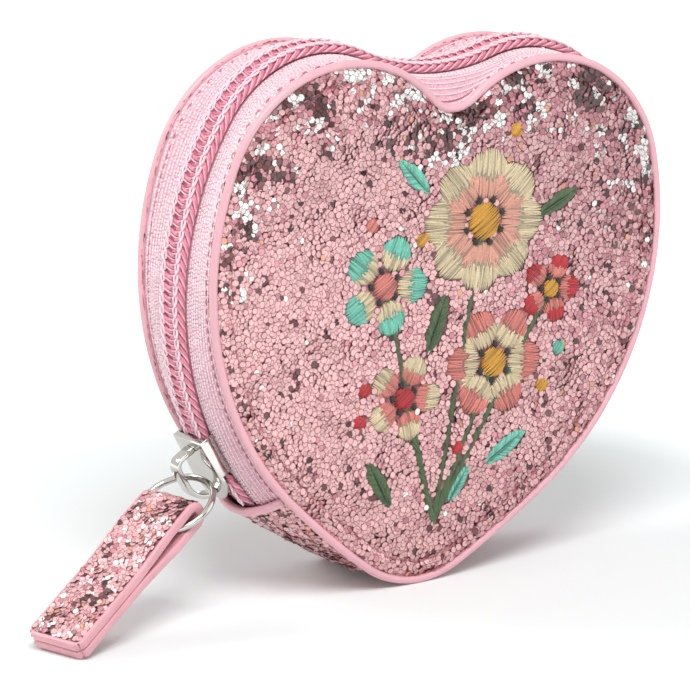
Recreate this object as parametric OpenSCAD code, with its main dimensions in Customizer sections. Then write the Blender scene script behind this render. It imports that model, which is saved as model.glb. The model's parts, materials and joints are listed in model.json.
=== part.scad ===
// Heart shaped zip purse. Two stiffened heart panels with piped edges are joined by a coil zip
// that runs over both lobes, and by a gusset round the tip. The heart is drawn upright, its tip at
// the origin, its front towards -Y, and is then leaned and moved to the centre of its back face.

/* [Heart outline] */
// Radius of the rounded tip at the bottom
tip_r = 20.7; // [14:0.1:26]
// Radius of the nearly straight flank above the tip
flank_r = 165; // [120:1:240]
// Radius of the full curve of each side
side_r = 61; // [57:0.5:66]
// Radius of each lobe at the top
lobe_r = 27.6; // [25:0.1:30]
// Radius of the notch between the lobes
notch_r = 6.2; // [4:0.1:9]
// Slope of the outline's normal, below level, where tip and flank meet
tip_a = 58.3; // [56:0.1:64]
// Slope of the outline's normal, below level, where flank and side meet
flank_a = 50; // [49.5:0.1:54]
// Slope of the outline's normal, above level, where side and lobe meet
lobe_a = 16.7; // [12:0.1:22]
// Lean of the standing purse towards its right side
lean = 5.9; // [0:0.1:12]

/* [Panels] */
// Distance between the middle planes of the front and back piping
seam_depth = 23.5; // [20:0.5:30]
// Diameter of the piping round each panel
piping_d = 1.6; // [1.2:0.1:3]
// Thickness of the glitter fabric of a panel
panel_t = 1; // [0.8:0.1:1.6]
// Thickness of the stiffening board behind the fabric
board_t = 1.4; // [0.8:0.1:2.5]
// Thickness of the lining
lining_t = 0.5; // [0.3:0.1:1]
// Distance of the topstitch from the panel's edge
stitch_inset = 2.7; // [2:0.1:5]
// Width of the channel that the topstitch pulls into the fabric
stitch_w = 0.8; // [0.4:0.1:1.5]
// Depth of that channel
stitch_depth = 0.45; // [0.2:0.05:0.6]
// Gap between the edges of a panel's layers and the piping
seam_gap = 0.1; // [0.05:0.05:0.3]

/* [Embroidery] */
// Height of the satin stitch above the fabric
satin_t = 0.6; // [0.3:0.1:1.2]
// Radius of a large flower's petal
petal_r = 6; // [3:0.1:7]
// Length of a leaf
leaf_l = 19; // [8:0.5:24]
// Width of the embroidered stems
stem_w = 1.8; // [0.8:0.1:2.5]

/* [Zip] */
// Slope of the outline's normal, below level, where the zip ends
zip_end_a = 48.5; // [44:0.1:49.5]
// Radius of the chain's path along each side, at the tape's outer face
chain_side_r = 60.8; // [56:0.1:66]
// Radius of the chain's path over each lobe
chain_lobe_r = 23; // [20:0.1:26]
// Radius of the chain's path where it sags between the lobes
chain_notch_r = 42; // [30:0.5:60]
// Distance of the middle of the chain's lobe path from the middle of the heart
chain_lobe_x = 23.5; // [21:0.1:26]
// Height of the middle of the chain's lobe path above the tip
chain_lobe_z = 77.4; // [74:0.1:80]
// Slope of the chain's normal where its side and lobe paths meet
chain_lobe_a = 27.7; // [20:0.1:36]
// Width of the closed chain
chain_w = 7; // [5.6:0.1:7.2]
// Height of the coils above the tape
coil_h = 2; // [1.4:0.1:2.4]
// Distance from one turn of a coil to the next
coil_pitch = 2; // [1.4:0.05:2.4]
// Reach of a coil's heads past the middle of the chain
head_reach = 0.15; // [0.05:0.05:0.25]
// Depth of the gaps between a coil's heads
head_depth = 0.7; // [0.5:0.05:0.9]
// Thickness of the woven tape
tape_t = 0.5; // [0.3:0.05:0.8]
// Distance of the tape's edge, under the coil, from the middle of the chain
tape_edge_y = 1.45; // [1.3:0.05:1.9]
// Distance from the middle of the chain over which the tape stays level for the slider
tape_flat_y = 5.6; // [5.3:0.1:6.5]

/* [Slider] */
// Distance of the slider's nose from the end of the zip when the purse is shut
slider_stop = 2.4; // [1.5:0.1:5]
// Length of the slider
slider_l = 14.4; // [12.4:0.1:15]
// Width of the slider's square tail
tail_w = 9; // [8.8:0.1:9.8]
// Width of the slider at its rounded nose
nose_w = 10.2; // [10:0.1:10.8]
// Thickness of the slider's two plates at the middle of the slider
plate_t = 0.9; // [0.8:0.1:1.4]
// Length of the side flanges from the tail
flange_l = 8.4; // [6:0.1:9]
// Width of the post that parts the coils
post_w = 2.1; // [1.6:0.1:2.2]
// Length of that post
post_l = 3.6; // [2.5:0.1:4.2]
// Gap that the chain and the tape have in the slider
slide_gap = 0.3; // [0.2:0.05:0.4]
// Width of the bail that holds the ring
bail_w = 2.6; // [2:0.1:4]
// Thickness of the bail's strip
bail_t = 1; // [0.8:0.1:1.2]
// Length of the bail over its feet
bail_l = 11.2; // [10:0.1:11.8]
// Free height under the bail
bail_h = 4.2; // [4:0.1:4.6]
// Radius of the bail's bend at the slider's tail
bail_r = 2.2; // [1.6:0.1:2.8]

/* [Pull] */
// Outer diameter of the ring
ring_d = 15.8; // [14:0.1:18]
// Thickness of the ring's wire
wire_d = 1.3; // [1:0.1:1.5]
// Place of the ring's wire along the bail, from the slider's middle towards its nose
wire_x = 0; // [-1:0.1:0.8]
// Play of the ring's wire under the bail, which it passes aslant
wire_play = 1.1; // [1:0.1:1.3]
// Turn of the hanging ring about the upright
pull_turn = 205.7; // [190:0.1:215]
// Drop of the hanging ring below level
pull_drop = 35.8; // [25:0.1:55]
// Roll of the hanging ring about its own length
pull_roll = 6.3; // [-15:0.1:20]
// Angle by which the tab has slid round the ring
tab_slide = -8.4; // [-30:0.1:25]
// Length of the folded tab
tab_l = 38.5; // [30:0.1:60]
// Width of the tab at its free end
tab_w = 12.8; // [9:0.1:15]
// Play between the ring and each side of the tab's fold
fold_play = 0.5; // [0.3:0.1:2]
// Thickness of the tab's glitter strip
strip_t = 1.1; // [0.8:0.1:1.5]
// Thickness of the tab's backing between the layers of glitter
backing_t = 0.5; // [0.4:0.1:0.8]
// Length past the ring over which the tab's layers come together
fold_shut_l = 3; // [2:0.1:6]
// Thickness of the paint on the tab's edges
edge_t = 0.45; // [0.2:0.05:0.8]

/* [Gusset] */
// Thickness of the gusset's glitter fabric
gusset_t = 1; // [0.8:0.1:1.4]
// Rise of the gusset's middle over the coils where it meets the zip
gusset_rise = 0.7; // [0.5:0.1:1.5]
// Width of the binding that frames each end of the zip
binding_w = 2.2; // [2:0.1:4]
// Thickness of that binding
binding_t = 1.5; // [1.2:0.1:2]

/* [Hidden] */
$fn = 64;

// Round shapes of small pieces and of large outlines
small_fn = 32;
wide_fn = 128;
// How far a cut runs past what it cuts
over = 1;
// Least gap between solids that must not touch
clear = 0.3;
// Gap between pieces that are sewn or glued to each other
sewn_gap = 0.05;

piping_r = piping_d/2;
seam_y = seam_depth/2;
face_y = seam_y + piping_r;
panel_inset = piping_d + seam_gap;
layer_inset = piping_d + stitch_w;

function ray(r, a) = [r*cos(a), r*sin(a)];
function flipped(p) = [-p[0], p[1]];

// Middles of the outline's arcs on the right half
tip_c = [0, tip_r];
flank_c = tip_c + ray(tip_r - flank_r, -tip_a);
side_c = flank_c + ray(flank_r - side_r, -flank_a);
lobe_c = side_c + ray(side_r - lobe_r, lobe_a);
notch_a = acos(-lobe_c[0]/(lobe_r + notch_r));
notch_c = lobe_c + ray(lobe_r + notch_r, notch_a);
heart_h = lobe_c[1] + lobe_r;
origin_z = heart_h/2;

// Middles of the chain's arcs on the right half
chain_lobe_c = [chain_lobe_x, chain_lobe_z];
chain_side_c = chain_lobe_c - ray(chain_side_r - chain_lobe_r, chain_lobe_a);
chain_notch_a = acos(-chain_lobe_x/(chain_lobe_r + chain_notch_r));
chain_notch_c = chain_lobe_c + ray(chain_lobe_r + chain_notch_r, chain_notch_a);
zip_end = side_c + ray(side_r, -zip_end_a) - chain_side_c;
chain_end_a = -atan2(zip_end[1], zip_end[0]);

// Lengths of the chain's path on one half
radian = PI/180;
chain_side_l = chain_side_r*(chain_lobe_a + chain_end_a)*radian;
chain_lobe_l = chain_lobe_r*(chain_notch_a - chain_lobe_a)*radian;
chain_notch_l = chain_notch_r*(chain_notch_a - 90)*radian;
chain_half_l = chain_side_l + chain_lobe_l + chain_notch_l;

// Turns of a coil over the whole zip, two rings for each turn
coil_turns = round(2*chain_half_l/coil_pitch);
coil_rings = 2*coil_turns;

// Place of the slider along the chain from the left end, and its slope there
slider_s = slider_stop + slider_l/2;
slider_a = chain_end_a - slider_s/chain_side_r/radian;
slider_top = coil_h + slide_gap + sewn_gap;
sag = slider_l*slider_l/8/chain_side_r;
plate_top = slider_top + plate_t;
plate_low = -tape_t - slide_gap - sag - plate_t;
// Where the post starts, and how far off the middle it holds the coils' heads
post_x = slider_l/2 - post_l - plate_t/2;
part_y = post_w/2 + clear;

// Puts the upright heart into the part's own frame
module placed() {
    translate([0, -face_y, 0]) rotate([0, lean, 0]) translate([0, 0, -origin_z]) children();
}

module behind() {
    mirror([0, 1, 0]) children();
}

// Points of the outline on the right half, drawn in by d, from the tip up to the notch, each
// with the slope of its normal. A fine of 2 halves the steps along each arc.
outline_steps = [5, 2, 12, 13, 5];
function arc_slopes(k, a0, a1, fine) =
    let (n = fine*outline_steps[k]) [for (i = [0:n - 1]) a0 + (a1 - a0)*i/n];
function outline_half(d, fine) = concat(
    [for (a = arc_slopes(0, -90, -tip_a, fine)) [tip_c + ray(tip_r - d, a), a]],
    [for (a = arc_slopes(1, -tip_a, -flank_a, fine)) [flank_c + ray(flank_r - d, a), a]],
    [for (a = arc_slopes(2, -flank_a, lobe_a, fine)) [side_c + ray(side_r - d, a), a]],
    [for (a = arc_slopes(3, lobe_a, notch_a, fine)) [lobe_c + ray(lobe_r - d, a), a]],
    [for (a = arc_slopes(4, notch_a, 90, fine)) [notch_c - ray(notch_r + d, a), a]],
    [[notch_c - ray(notch_r + d, 90), 90]]
);

// The whole heart, drawn in by d
module heart(d) {
    half = [for (p = outline_half(d, 2)) p[0]];
    polygon(concat(half, [for (i = [len(half) - 2:-1:1]) flipped(half[i])]));
}

// A heart shaped layer drawn in by d, from y outwards over a thickness t, on the front
module layer(d, y, t) {
    translate([0, -y, 0]) rotate([90, 0, 0]) linear_extrude(t) heart(d);
}

// Groove or thread along the topstitch
module stitch_band(y, t) {
    translate([0, -y, 0]) rotate([90, 0, 0]) linear_extrude(t) difference() {
        heart(panel_inset + stitch_inset - stitch_w/2);
        heart(panel_inset + stitch_inset + stitch_w/2);
    }
}

module glitter_panel() {
    difference() {
        layer(panel_inset, face_y - panel_t, panel_t);
        stitch_band(face_y - stitch_depth, stitch_depth + over);
    }
}

// Ring of the piping's round section at a point of the outline
piping_sides = 8;
function piping_ring(p, side) = [for (j = [0:piping_sides - 1])
    let (b = j*360/piping_sides, q = p[0] + ray(piping_r*cos(b), p[1]))
    [side*q[0], -piping_r*sin(b) - seam_y, q[1]]];

// One strip all the way round, its ends butted at the tip
module piping() {
    half = outline_half(piping_r, 1);
    n = len(half);
    skin(concat(
        [piping_ring([half[0][0] + [sewn_gap, 0], half[0][1]], 1)],
        [for (i = [1:n - 1]) piping_ring(half[i], 1)],
        [for (i = [n - 2:-1:1]) piping_ring(half[i], -1)],
        [piping_ring([half[0][0] + [sewn_gap, 0], half[0][1]], -1)]
    ));
}

module board() {
    layer(layer_inset, face_y - panel_t - sewn_gap - board_t, board_t);
}

module lining() {
    layer(layer_inset, face_y - panel_t - 2*sewn_gap - board_t - lining_t, lining_t);
}

// Joins rings of points into one closed solid. A ring is a list of an even number of points, its
// second half facing its first, so that an end closes with a row of faces from half to half, and
// the two halves of a wall split into like triangles.
module skin(rings) {
    n = len(rings[0]);
    m = len(rings);
    half = n/2;
    polyhedron(
        points = [for (r = rings) for (p = r) p],
        faces = concat(
            [for (j = [0:half - 2]) [j, j + 1, n - 2 - j, n - 1 - j]],
            [for (i = [0:m - 2]) for (j = [0:n - 1])
                let (a = i*n + j, b = a + n, d = i*n + (j + 1)%n, c = d + n)
                each j < half ? [[a, b, c], [a, c, d]] : [[a, b, d], [b, c, d]]],
            [for (j = [0:half - 2]) let (o = (m - 1)*n) [o + n - 1 - j, o + n - 2 - j, o + j + 1, o + j]]
        ),
        convexity = 4
    );
}

// Point and outward direction on the right half of the seam, share 0 to 1 of arc k
// from the zip's end: side, lobe, notch
function seam_at(k, share, d) =
    k == 0 ? let (a = -zip_end_a + share*(lobe_a + zip_end_a)) [side_c + ray(side_r - d, a), a]
    : k == 1 ? let (a = lobe_a + share*(notch_a - lobe_a)) [lobe_c + ray(lobe_r - d, a), a]
    : let (a = notch_a + share*(90 - notch_a)) [notch_c - ray(notch_r + d, a), a];

// The same on the chain's path, raised by h
function chain_at(k, share, h) =
    k == 0 ? let (a = -chain_end_a + share*(chain_lobe_a + chain_end_a))
        [chain_side_c + ray(chain_side_r + h, a), a]
    : k == 1 ? let (a = chain_lobe_a + share*(chain_notch_a - chain_lobe_a))
        [chain_lobe_c + ray(chain_lobe_r + h, a), a]
    : let (a = chain_notch_a + share*(90 - chain_notch_a))
        [chain_notch_c - ray(chain_notch_r - h, a), a];

// Stations of the wall, as [arc, share, side], from the left end of the zip to the right end
wall_steps = [14, 14, 5];
wall_half = [for (k = [0:2]) for (i = [0:wall_steps[k] - 1]) [k, i/wall_steps[k]]];
wall_path = concat(
    [for (w = wall_half) [w[0], w[1], -1]],
    [[2, 1, 1]],
    [for (i = [len(wall_half) - 1:-1:0]) [wall_half[i][0], wall_half[i][1], 1]]
);

// Point of the wall at a station, y from the middle and depth t below the tape's outer face
wall_in = piping_r;
function wall_share(y, edge) = let (x = max(0, min(1, (edge - y)/(edge - tape_flat_y)))) x*x*(3 - 2*x);
function wall_point(w, y, edge, t) =
    let (
        a = seam_at(w[0], w[1], wall_in + t)[0],
        b = chain_at(w[0], w[1], -t)[0],
        p = a + (b - a)*wall_share(y, edge)
    )
    [w[2]*p[0], -y, p[1]];

module zipper_tape() {
    edge = gusset_half;
    ys = [edge, (edge*2 + tape_flat_y)/3, (edge + tape_flat_y*2)/3, tape_flat_y, tape_edge_y];
    skin([for (w = wall_path) concat(
        [for (y = ys) wall_point(w, y, edge, 0)],
        [for (i = [len(ys) - 1:-1:0]) wall_point(w, ys[i], edge, tape_t)]
    )]);
}

// Point on the whole chain at a length s from its left end, raised by h
function chain_half_at(s, h) =
    s <= chain_side_l ? chain_at(0, s/chain_side_l, h)[0]
    : s <= chain_side_l + chain_lobe_l ? chain_at(1, (s - chain_side_l)/chain_lobe_l, h)[0]
    : chain_at(2, (s - chain_side_l - chain_lobe_l)/chain_notch_l, h)[0];
function chain_point(s, y, h) =
    let (p = s <= chain_half_l ? flipped(chain_half_at(s, h)) : chain_half_at(2*chain_half_l - s, h))
    [p[0], y, p[1]];

// How far a coil stands off the middle at a length s, parted from the slider's post to the left end
function parting(s) =
    let (x = slider_s - s - post_x, t = max(0, min(1, (x + post_w)/(post_w*3/2))))
    (part_y + head_reach)*t*t*(3 - 2*t);

// One half of the chain: a ribbed coil whose heads reach past the middle in every other ring.
// Phase 1 turns heads into gaps, so that the two halves mesh.
module zipper_coil(phase) {
    step = 2*chain_half_l/coil_rings;
    skin([for (i = [0:coil_rings]) let (
        s = i*step,
        head = (i + phase)%2 == 0 ? 1 : 0,
        off = parting(s),
        y_in = -head_reach + (1 - head)*head_depth + off,
        y_out = chain_w/2 - (1 - head)*coil_h/8 + off,
        h = coil_h - (1 - head)*coil_h/5,
        y_up = y_in + coil_h/3
    ) [
        chain_point(s, -y_in, sewn_gap),
        chain_point(s, -y_in, h*2/3),
        chain_point(s, -y_up, h),
        chain_point(s, -y_out + coil_h/3, h),
        chain_point(s, -y_out, h/2),
        chain_point(s, -y_out, sewn_gap)
    ]]);
}

// Half width of the gusset between the two lines of piping
gusset_half = seam_y - piping_r - seam_gap;

// Seam of the gusset on the right half, by the slope of its normal, drawn in by d
function low_seam(a, d) =
    a > tip_a ? tip_c + ray(tip_r - d, -a)
    : a > flank_a ? flank_c + ray(flank_r - d, -a)
    : side_c + ray(side_r - d, -a);

// Length of the seam from the tip to a slope, and the slope at a length before the zip's end
tip_seam_l = tip_r*(90 - tip_a)*radian;
flank_seam_l = flank_r*(tip_a - flank_a)*radian;
side_seam_l = side_r*(flank_a - zip_end_a)*radian;
low_seam_l = tip_seam_l + flank_seam_l + side_seam_l;
function low_len(a) =
    a > tip_a ? tip_r*(90 - a)*radian
    : a > flank_a ? tip_seam_l + flank_r*(tip_a - a)*radian
    : tip_seam_l + flank_seam_l + side_r*(flank_a - a)*radian;
function slope_before(l) =
    l < side_seam_l ? zip_end_a + l/side_r/radian : flank_a + (l - side_seam_l)/flank_r/radian;

// Rise of the gusset's middle over its seam, from nothing at the tip to over the chain
gusset_mouth = chain_side_c + ray(chain_side_r + coil_h + gusset_rise, -chain_end_a);
gusset_bulge = norm(gusset_mouth - low_seam(zip_end_a, piping_r));
function bulge(a) = gusset_bulge*pow(low_len(a)/low_seam_l, 1.5);

// Slopes of the normal at the gusset's stations on the right half, from the tip to the binding
gusset_end_a = slope_before(clear + binding_w + sewn_gap);
gusset_as = concat(
    [for (i = [0:5]) 90 - (90 - tip_a)*i/6],
    [for (i = [0:5]) tip_a - (tip_a - gusset_end_a)*i/5]
);

// Cross section of the gusset: shares of its half width and of its rise
bow_shares = [[-1, 0], [-0.75, 0.5], [-0.4, 0.88], [0, 1], [0.4, 0.88], [0.75, 0.5], [1, 0]];

// Ring of points across the gusset at a slope, between depths t0 and t1 below its outer face
function bow_point(a, side, bow, t) =
    let (p = low_seam(a, piping_r + t) + ray(bulge(a)*bow[1], -a))
    [side*p[0], bow[0]*gusset_half, p[1]];
function bow_ring(a, side, t0, t1) = concat(
    [for (b = bow_shares) bow_point(a, side, b, t0)],
    [for (i = [len(bow_shares) - 1:-1:0]) bow_point(a, side, bow_shares[i], t1)]
);

module gusset_sheet(t0, t1) {
    skin(concat(
        [for (i = [len(gusset_as) - 1:-1:0]) bow_ring(gusset_as[i], -1, t0, t1)],
        [for (i = [1:len(gusset_as) - 1]) bow_ring(gusset_as[i], 1, t0, t1)]
    ));
}

// A folded strip across the end of the zip, proud of the gusset
module zip_binding(side) {
    a0 = slope_before(clear + binding_w);
    a1 = slope_before(clear);
    stations = [for (a = [a0, (a0 + a1)/2, a1]) bow_ring(a, side, -binding_t/3, binding_t*2/3)];
    skin(side < 0 ? stations : [for (i = [2:-1:0]) stations[i]]);
}

// Frame of the slider: X down the chain, Z outwards, origin on the tape at the slider's middle
module at_slider() {
    translate([-chain_side_c[0], 0, chain_side_c[1]]) rotate([0, 180 - slider_a, 0])
        translate([chain_side_r, 0, 0]) rotate([0, 90, 0]) mirror([1, 0, 0]) children();
}

// Outline of the slider's plates, tail at -X
module plate_outline() {
    polygon([
        [-slider_l/2, -tail_w/2], [slider_l/2 - nose_w/2, -nose_w/2],
        [slider_l/2 - nose_w/2, nose_w/2], [-slider_l/2, tail_w/2]
    ]);
    translate([slider_l/2 - nose_w/2, 0]) circle(nose_w/2);
}

// A band that follows the chain through the slider, from height z0 to z1 and w wide,
// over the part of the slider from x0 to x1
module chain_band(z0, z1, w, x0, x1) {
    a0 = x0/chain_side_r/radian;
    a1 = x1/chain_side_r/radian;
    translate([0, 0, -chain_side_r]) rotate([90, 0, 0]) rotate([0, 0, 90 - a1])
        rotate_extrude(angle = a1 - a0, $fn = wide_fn)
            translate([chain_side_r + z0, -w/2]) square([z1 - z0, w]);
}

module slider_body() {
    coil_w = chain_w + 2*slide_gap;
    low = -tape_t - slide_gap;
    post_half = post_w/2;
    post_end = post_x + post_l;
    difference() {
        translate([0, 0, plate_low]) linear_extrude(plate_top - plate_low) plate_outline();
        chain_band(low, slider_top, coil_w, -slider_l/2 - over, slider_l/2 + over);
        chain_band(low, slide_gap, nose_w + 2*over, -slider_l/2 - over, slider_l/2 + over);
        chain_band(low, slider_top, nose_w + 2*over, -slider_l/2 + flange_l, slider_l/2 + over);
    }
    translate([0, 0, (plate_low + low)/2]) linear_extrude(plate_top - plate_t/2 - (plate_low + low)/2) {
        polygon([[post_x, 0], [post_x + post_half, -post_half], [post_end, -post_half/2],
            [post_end, post_half/2], [post_x + post_half, post_half]]);
    }
}

// Side view of the bail, filled: bent to a radius r at the tail, and over its whole height at the
// nose. It runs down past the plate.
module bail_side(l, h, r) {
    translate([-l/2, -over]) square([l - h, h - r + over]);
    translate([-l/2 + r, -over]) square([l - r - h, h + over]);
    translate([-l/2 + r, h - r]) circle(r, $fn = small_fn);
    translate([l/2 - h, 0]) circle(h);
}

module slider_bail() {
    translate([0, bail_w/2, plate_top]) rotate([90, 0, 0]) linear_extrude(bail_w)
        intersection() {
            translate([-bail_l, 0]) square([2*bail_l, bail_h + bail_t]);
            difference() {
                bail_side(bail_l, bail_h + bail_t, bail_r);
                bail_side(bail_l - 2*bail_t, bail_h, bail_r - bail_t);
            }
        }
}

// The ring's wire hangs out against the bail, and the tab's fold runs through the ring
fold_w = ring_d - 2*wire_d - 2*fold_play;
wire_z = plate_top + bail_h - wire_d/2 - wire_play;
ring_r = (ring_d - wire_d)/2;

// Frame of the ring: X from the bail to the ring's middle, Z square to the ring
wire_angle = slider_a + wire_x/chain_side_r/radian;
wire_at = [-chain_side_c[0], chain_side_c[1]] - ray(chain_side_r + wire_z, wire_angle);
module at_ring() {
    translate([wire_at[0], 0, wire_at[1]]) rotate([pull_roll, pull_drop, pull_turn])
        translate([ring_r, 0, 0]) children();
}

module pull_ring() {
    rotate_extrude($fn = wide_fn) translate([ring_r, 0]) circle(wire_d/2, $fn = small_fn);
}

// Frame of the tab: X along the tab from its fold, Y across it
module at_tab() {
    at_ring() rotate([0, 0, tab_slide]) children();
}

// Half thickness of the folded tab over the ring, and past it where the layers lie together
open_y = wire_d/2 + clear + backing_t + sewn_gap + strip_t;
shut_y = backing_t + 2*sewn_gap + strip_t;
// The fold crosses the ring's plane evenly about the ring's middle
fold_x = open_y - (strip_t + backing_t + sewn_gap)/2;
open_x = ring_d/2 + clear;

// Side view of the folded tab, filled, at a depth t below its outer face
module tab_side(t, end_x) {
    translate([fold_x, 0]) circle(open_y - t, $fn = small_fn);
    polygon([
        [fold_x, t - open_y], [open_x, t - open_y], [open_x + fold_shut_l, t - shut_y],
        [end_x, t - shut_y], [end_x, shut_y - t], [open_x + fold_shut_l, shut_y - t],
        [open_x, open_y - t], [fold_x, open_y - t]
    ]);
}

// View of the tab from above, tapered towards the fold, drawn in at the sides by d
module tab_plan(d) {
    x0 = fold_x - open_y - over;
    polygon([[x0, d - fold_w/2], [0, d - fold_w/2], [tab_l, d - tab_w/2], [tab_l, tab_w/2 - d],
        [0, fold_w/2 - d], [x0, fold_w/2 - d]]);
}

// A folded layer between depths t0 and t1, open at the tab's end
module tab_layer(t0, t1) {
    rotate([90, 0, 0]) translate([0, 0, -tab_w]) linear_extrude(2*tab_w) difference() {
        tab_side(t0, tab_l);
        tab_side(t1, tab_l + over);
    }
}

module tab_part(t0, t1, d) {
    intersection() {
        tab_layer(t0, t1);
        translate([0, 0, -tab_w]) linear_extrude(2*tab_w) tab_plan(d);
    }
}

module tab_strip() {
    tab_part(0, strip_t, edge_t + sewn_gap);
}

module tab_backing() {
    tab_part(strip_t + sewn_gap, strip_t + sewn_gap + backing_t, edge_t + sewn_gap);
}

// Paint along one edge of both layers
module tab_edge(side) {
    intersection() {
        tab_layer(0, strip_t + sewn_gap + backing_t);
        translate([0, 0, -tab_w]) linear_extrude(2*tab_w) intersection() {
            difference() {
                tab_plan(0);
                tab_plan(edge_t);
            }
            translate([-tab_w, side > 0 ? 0 : -tab_w]) square([tab_l + 2*tab_w, tab_w]);
        }
    }
}

// Flowers of the embroidery: place as shares of the heart's half width and height, size as a
// share of the large flower, and number of petals
flower_shares = [
    [0.17, 0.69, 1, 8], [-0.25, 0.575, 0.72, 5], [0.27, 0.42, 0.8, 6], [-0.12, 0.36, 0.62, 5],
    [0.5, 0.555, 0.5, 5]
];
// Leaves: place, turn in degrees, and size as a share of the long leaf
leaf_shares = [
    [0, 0.5, 75, 0.9], [0.36, 0.255, 35, 0.8], [-0.2, 0.2, 125, 0.8], [0.5, 0.72, 30, 0.75],
    [-0.16, 0.78, 140, 0.75], [0.16, 0.19, 60, 0.6]
];
// Foot of the stems, and the flowers that they reach
stem_foot_share = [0.06, 0.12];
half_w = side_c[0] + side_r;

function spot(s) = [s[0]*half_w, s[1]*heart_h];

module flower(r, n) {
    circle(r*3/5);
    for (i = [0:n - 1]) rotate(i*360/n) translate([r*1.5, 0]) circle(r*4/5, $fn = small_fn);
}

module leaf(l) {
    intersection_for (k = [-1, 1]) translate([0, k*l/2]) circle(l*5/8, $fn = small_fn);
}

module stem(a, b) {
    d = b - a;
    translate(a) rotate(atan2(d[1], d[0])) translate([0, -stem_w/2]) square([norm(d), stem_w]);
}

module embroidery() {
    translate([0, -face_y, 0]) rotate([90, 0, 0]) linear_extrude(satin_t) {
        for (f = flower_shares) {
            translate(spot(f)) flower(petal_r*f[2], f[3]);
            stem(spot(stem_foot_share), spot(f));
        }
        for (f = leaf_shares) translate(spot(f)) rotate(f[2]) leaf(leaf_l*f[3]);
    }
}

placed() color("lightpink") glitter_panel();  // front_panel
placed() color("hotpink") piping();  // front_piping
placed() color("white") board();  // front_board
placed() color("mistyrose") lining();  // front_lining
placed() color("ivory") embroidery();
placed() color("pink") zipper_tape();  // zipper_tape_front
placed() color("palevioletred") zipper_coil(0);  // zipper_coil_front
placed() behind() color("lightpink") glitter_panel();  // back_panel
placed() behind() color("hotpink") piping();  // back_piping
placed() behind() color("white") board();  // back_board
placed() behind() color("mistyrose") lining();  // back_lining
placed() behind() color("pink") zipper_tape();  // zipper_tape_back
placed() behind() color("palevioletred") zipper_coil(1);  // zipper_coil_back
placed() color("lightpink") gusset_sheet(0, gusset_t);  // gusset
placed() color("mistyrose") gusset_sheet(gusset_t + sewn_gap, gusset_t + sewn_gap + lining_t);  // gusset_lining
placed() color("hotpink") zip_binding(-1);  // zip_binding_left
placed() color("hotpink") zip_binding(1);  // zip_binding_right
placed() at_slider() color("silver") slider_body();
placed() at_slider() color("silver") slider_bail();
placed() at_ring() color("silver") pull_ring();
placed() at_tab() color("lightpink") tab_strip();
placed() at_tab() color("rosybrown") tab_backing();
placed() at_tab() color("hotpink") tab_edge(1);  // tab_edge_left
placed() at_tab() color("hotpink") tab_edge(-1);  // tab_edge_right
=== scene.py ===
import json
import math
import random

import bmesh
import bpy
import numpy as np
from bpy.props import (
    FloatProperty, FloatVectorProperty, IntProperty, PointerProperty,
)
from mathutils import Matrix, Vector
from mathutils import noise


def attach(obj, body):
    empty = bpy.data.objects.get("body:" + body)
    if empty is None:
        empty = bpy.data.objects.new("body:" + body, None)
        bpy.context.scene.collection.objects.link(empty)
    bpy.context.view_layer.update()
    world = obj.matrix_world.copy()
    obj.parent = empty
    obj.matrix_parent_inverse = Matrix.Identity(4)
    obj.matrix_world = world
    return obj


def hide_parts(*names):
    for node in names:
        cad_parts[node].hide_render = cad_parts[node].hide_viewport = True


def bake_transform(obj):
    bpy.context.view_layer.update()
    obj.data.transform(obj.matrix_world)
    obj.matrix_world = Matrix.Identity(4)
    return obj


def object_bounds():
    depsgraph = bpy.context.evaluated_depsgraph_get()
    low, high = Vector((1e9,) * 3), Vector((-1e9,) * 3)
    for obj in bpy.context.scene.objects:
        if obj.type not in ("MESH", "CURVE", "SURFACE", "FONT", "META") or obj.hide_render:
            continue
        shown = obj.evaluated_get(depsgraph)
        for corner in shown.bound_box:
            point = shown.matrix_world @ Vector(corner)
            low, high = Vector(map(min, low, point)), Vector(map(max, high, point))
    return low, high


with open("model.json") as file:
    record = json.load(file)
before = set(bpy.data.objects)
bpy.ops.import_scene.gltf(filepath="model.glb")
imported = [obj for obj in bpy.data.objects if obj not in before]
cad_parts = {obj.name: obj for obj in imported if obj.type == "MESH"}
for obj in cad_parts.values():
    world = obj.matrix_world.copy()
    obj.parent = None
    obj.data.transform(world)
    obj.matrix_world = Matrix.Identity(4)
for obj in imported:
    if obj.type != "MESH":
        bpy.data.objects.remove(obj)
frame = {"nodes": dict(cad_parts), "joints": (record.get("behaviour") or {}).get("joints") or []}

bl_info = {
    "name": "Heart Purse Studio",
    "version": (1, 0, 0),
    "blender": (4, 5, 0),
    "location": "3D View > Sidebar > Heart Purse",
    "description": "Dresses the heart shaped zip purse: glitter, piping, zip, pull tab and embroidery",
    "category": "Object",
}

MM = 0.001
SHELL_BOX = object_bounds()
# The two halves of the purse: side of the Y axis and body
SIDES = ((-1, "front"), (1, "back"))
# Distance of the topstitch from the outline, in millimetres
STITCH_INSET = 4.4
# Thickness of the glitter cloth and height of a panel's middle as a share of the heart's
CLOTH_T = 0.8*MM
MIDDLE_SHARE = 0.54


def span(name, value, description):
    """A length property with its default given in millimetres"""
    return FloatProperty(
        name=name, default=value*MM, unit="LENGTH", precision=5, description=description,
    )


def degrees(name, value, description):
    """An angle property with its default given in degrees"""
    return FloatProperty(
        name=name, default=math.radians(value), subtype="ANGLE", description=description,
    )


def colour(name, value, description):
    """A colour property"""
    return FloatVectorProperty(
        name=name, default=value, size=3, subtype="COLOR", min=0, max=1, description=description,
    )


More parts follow.
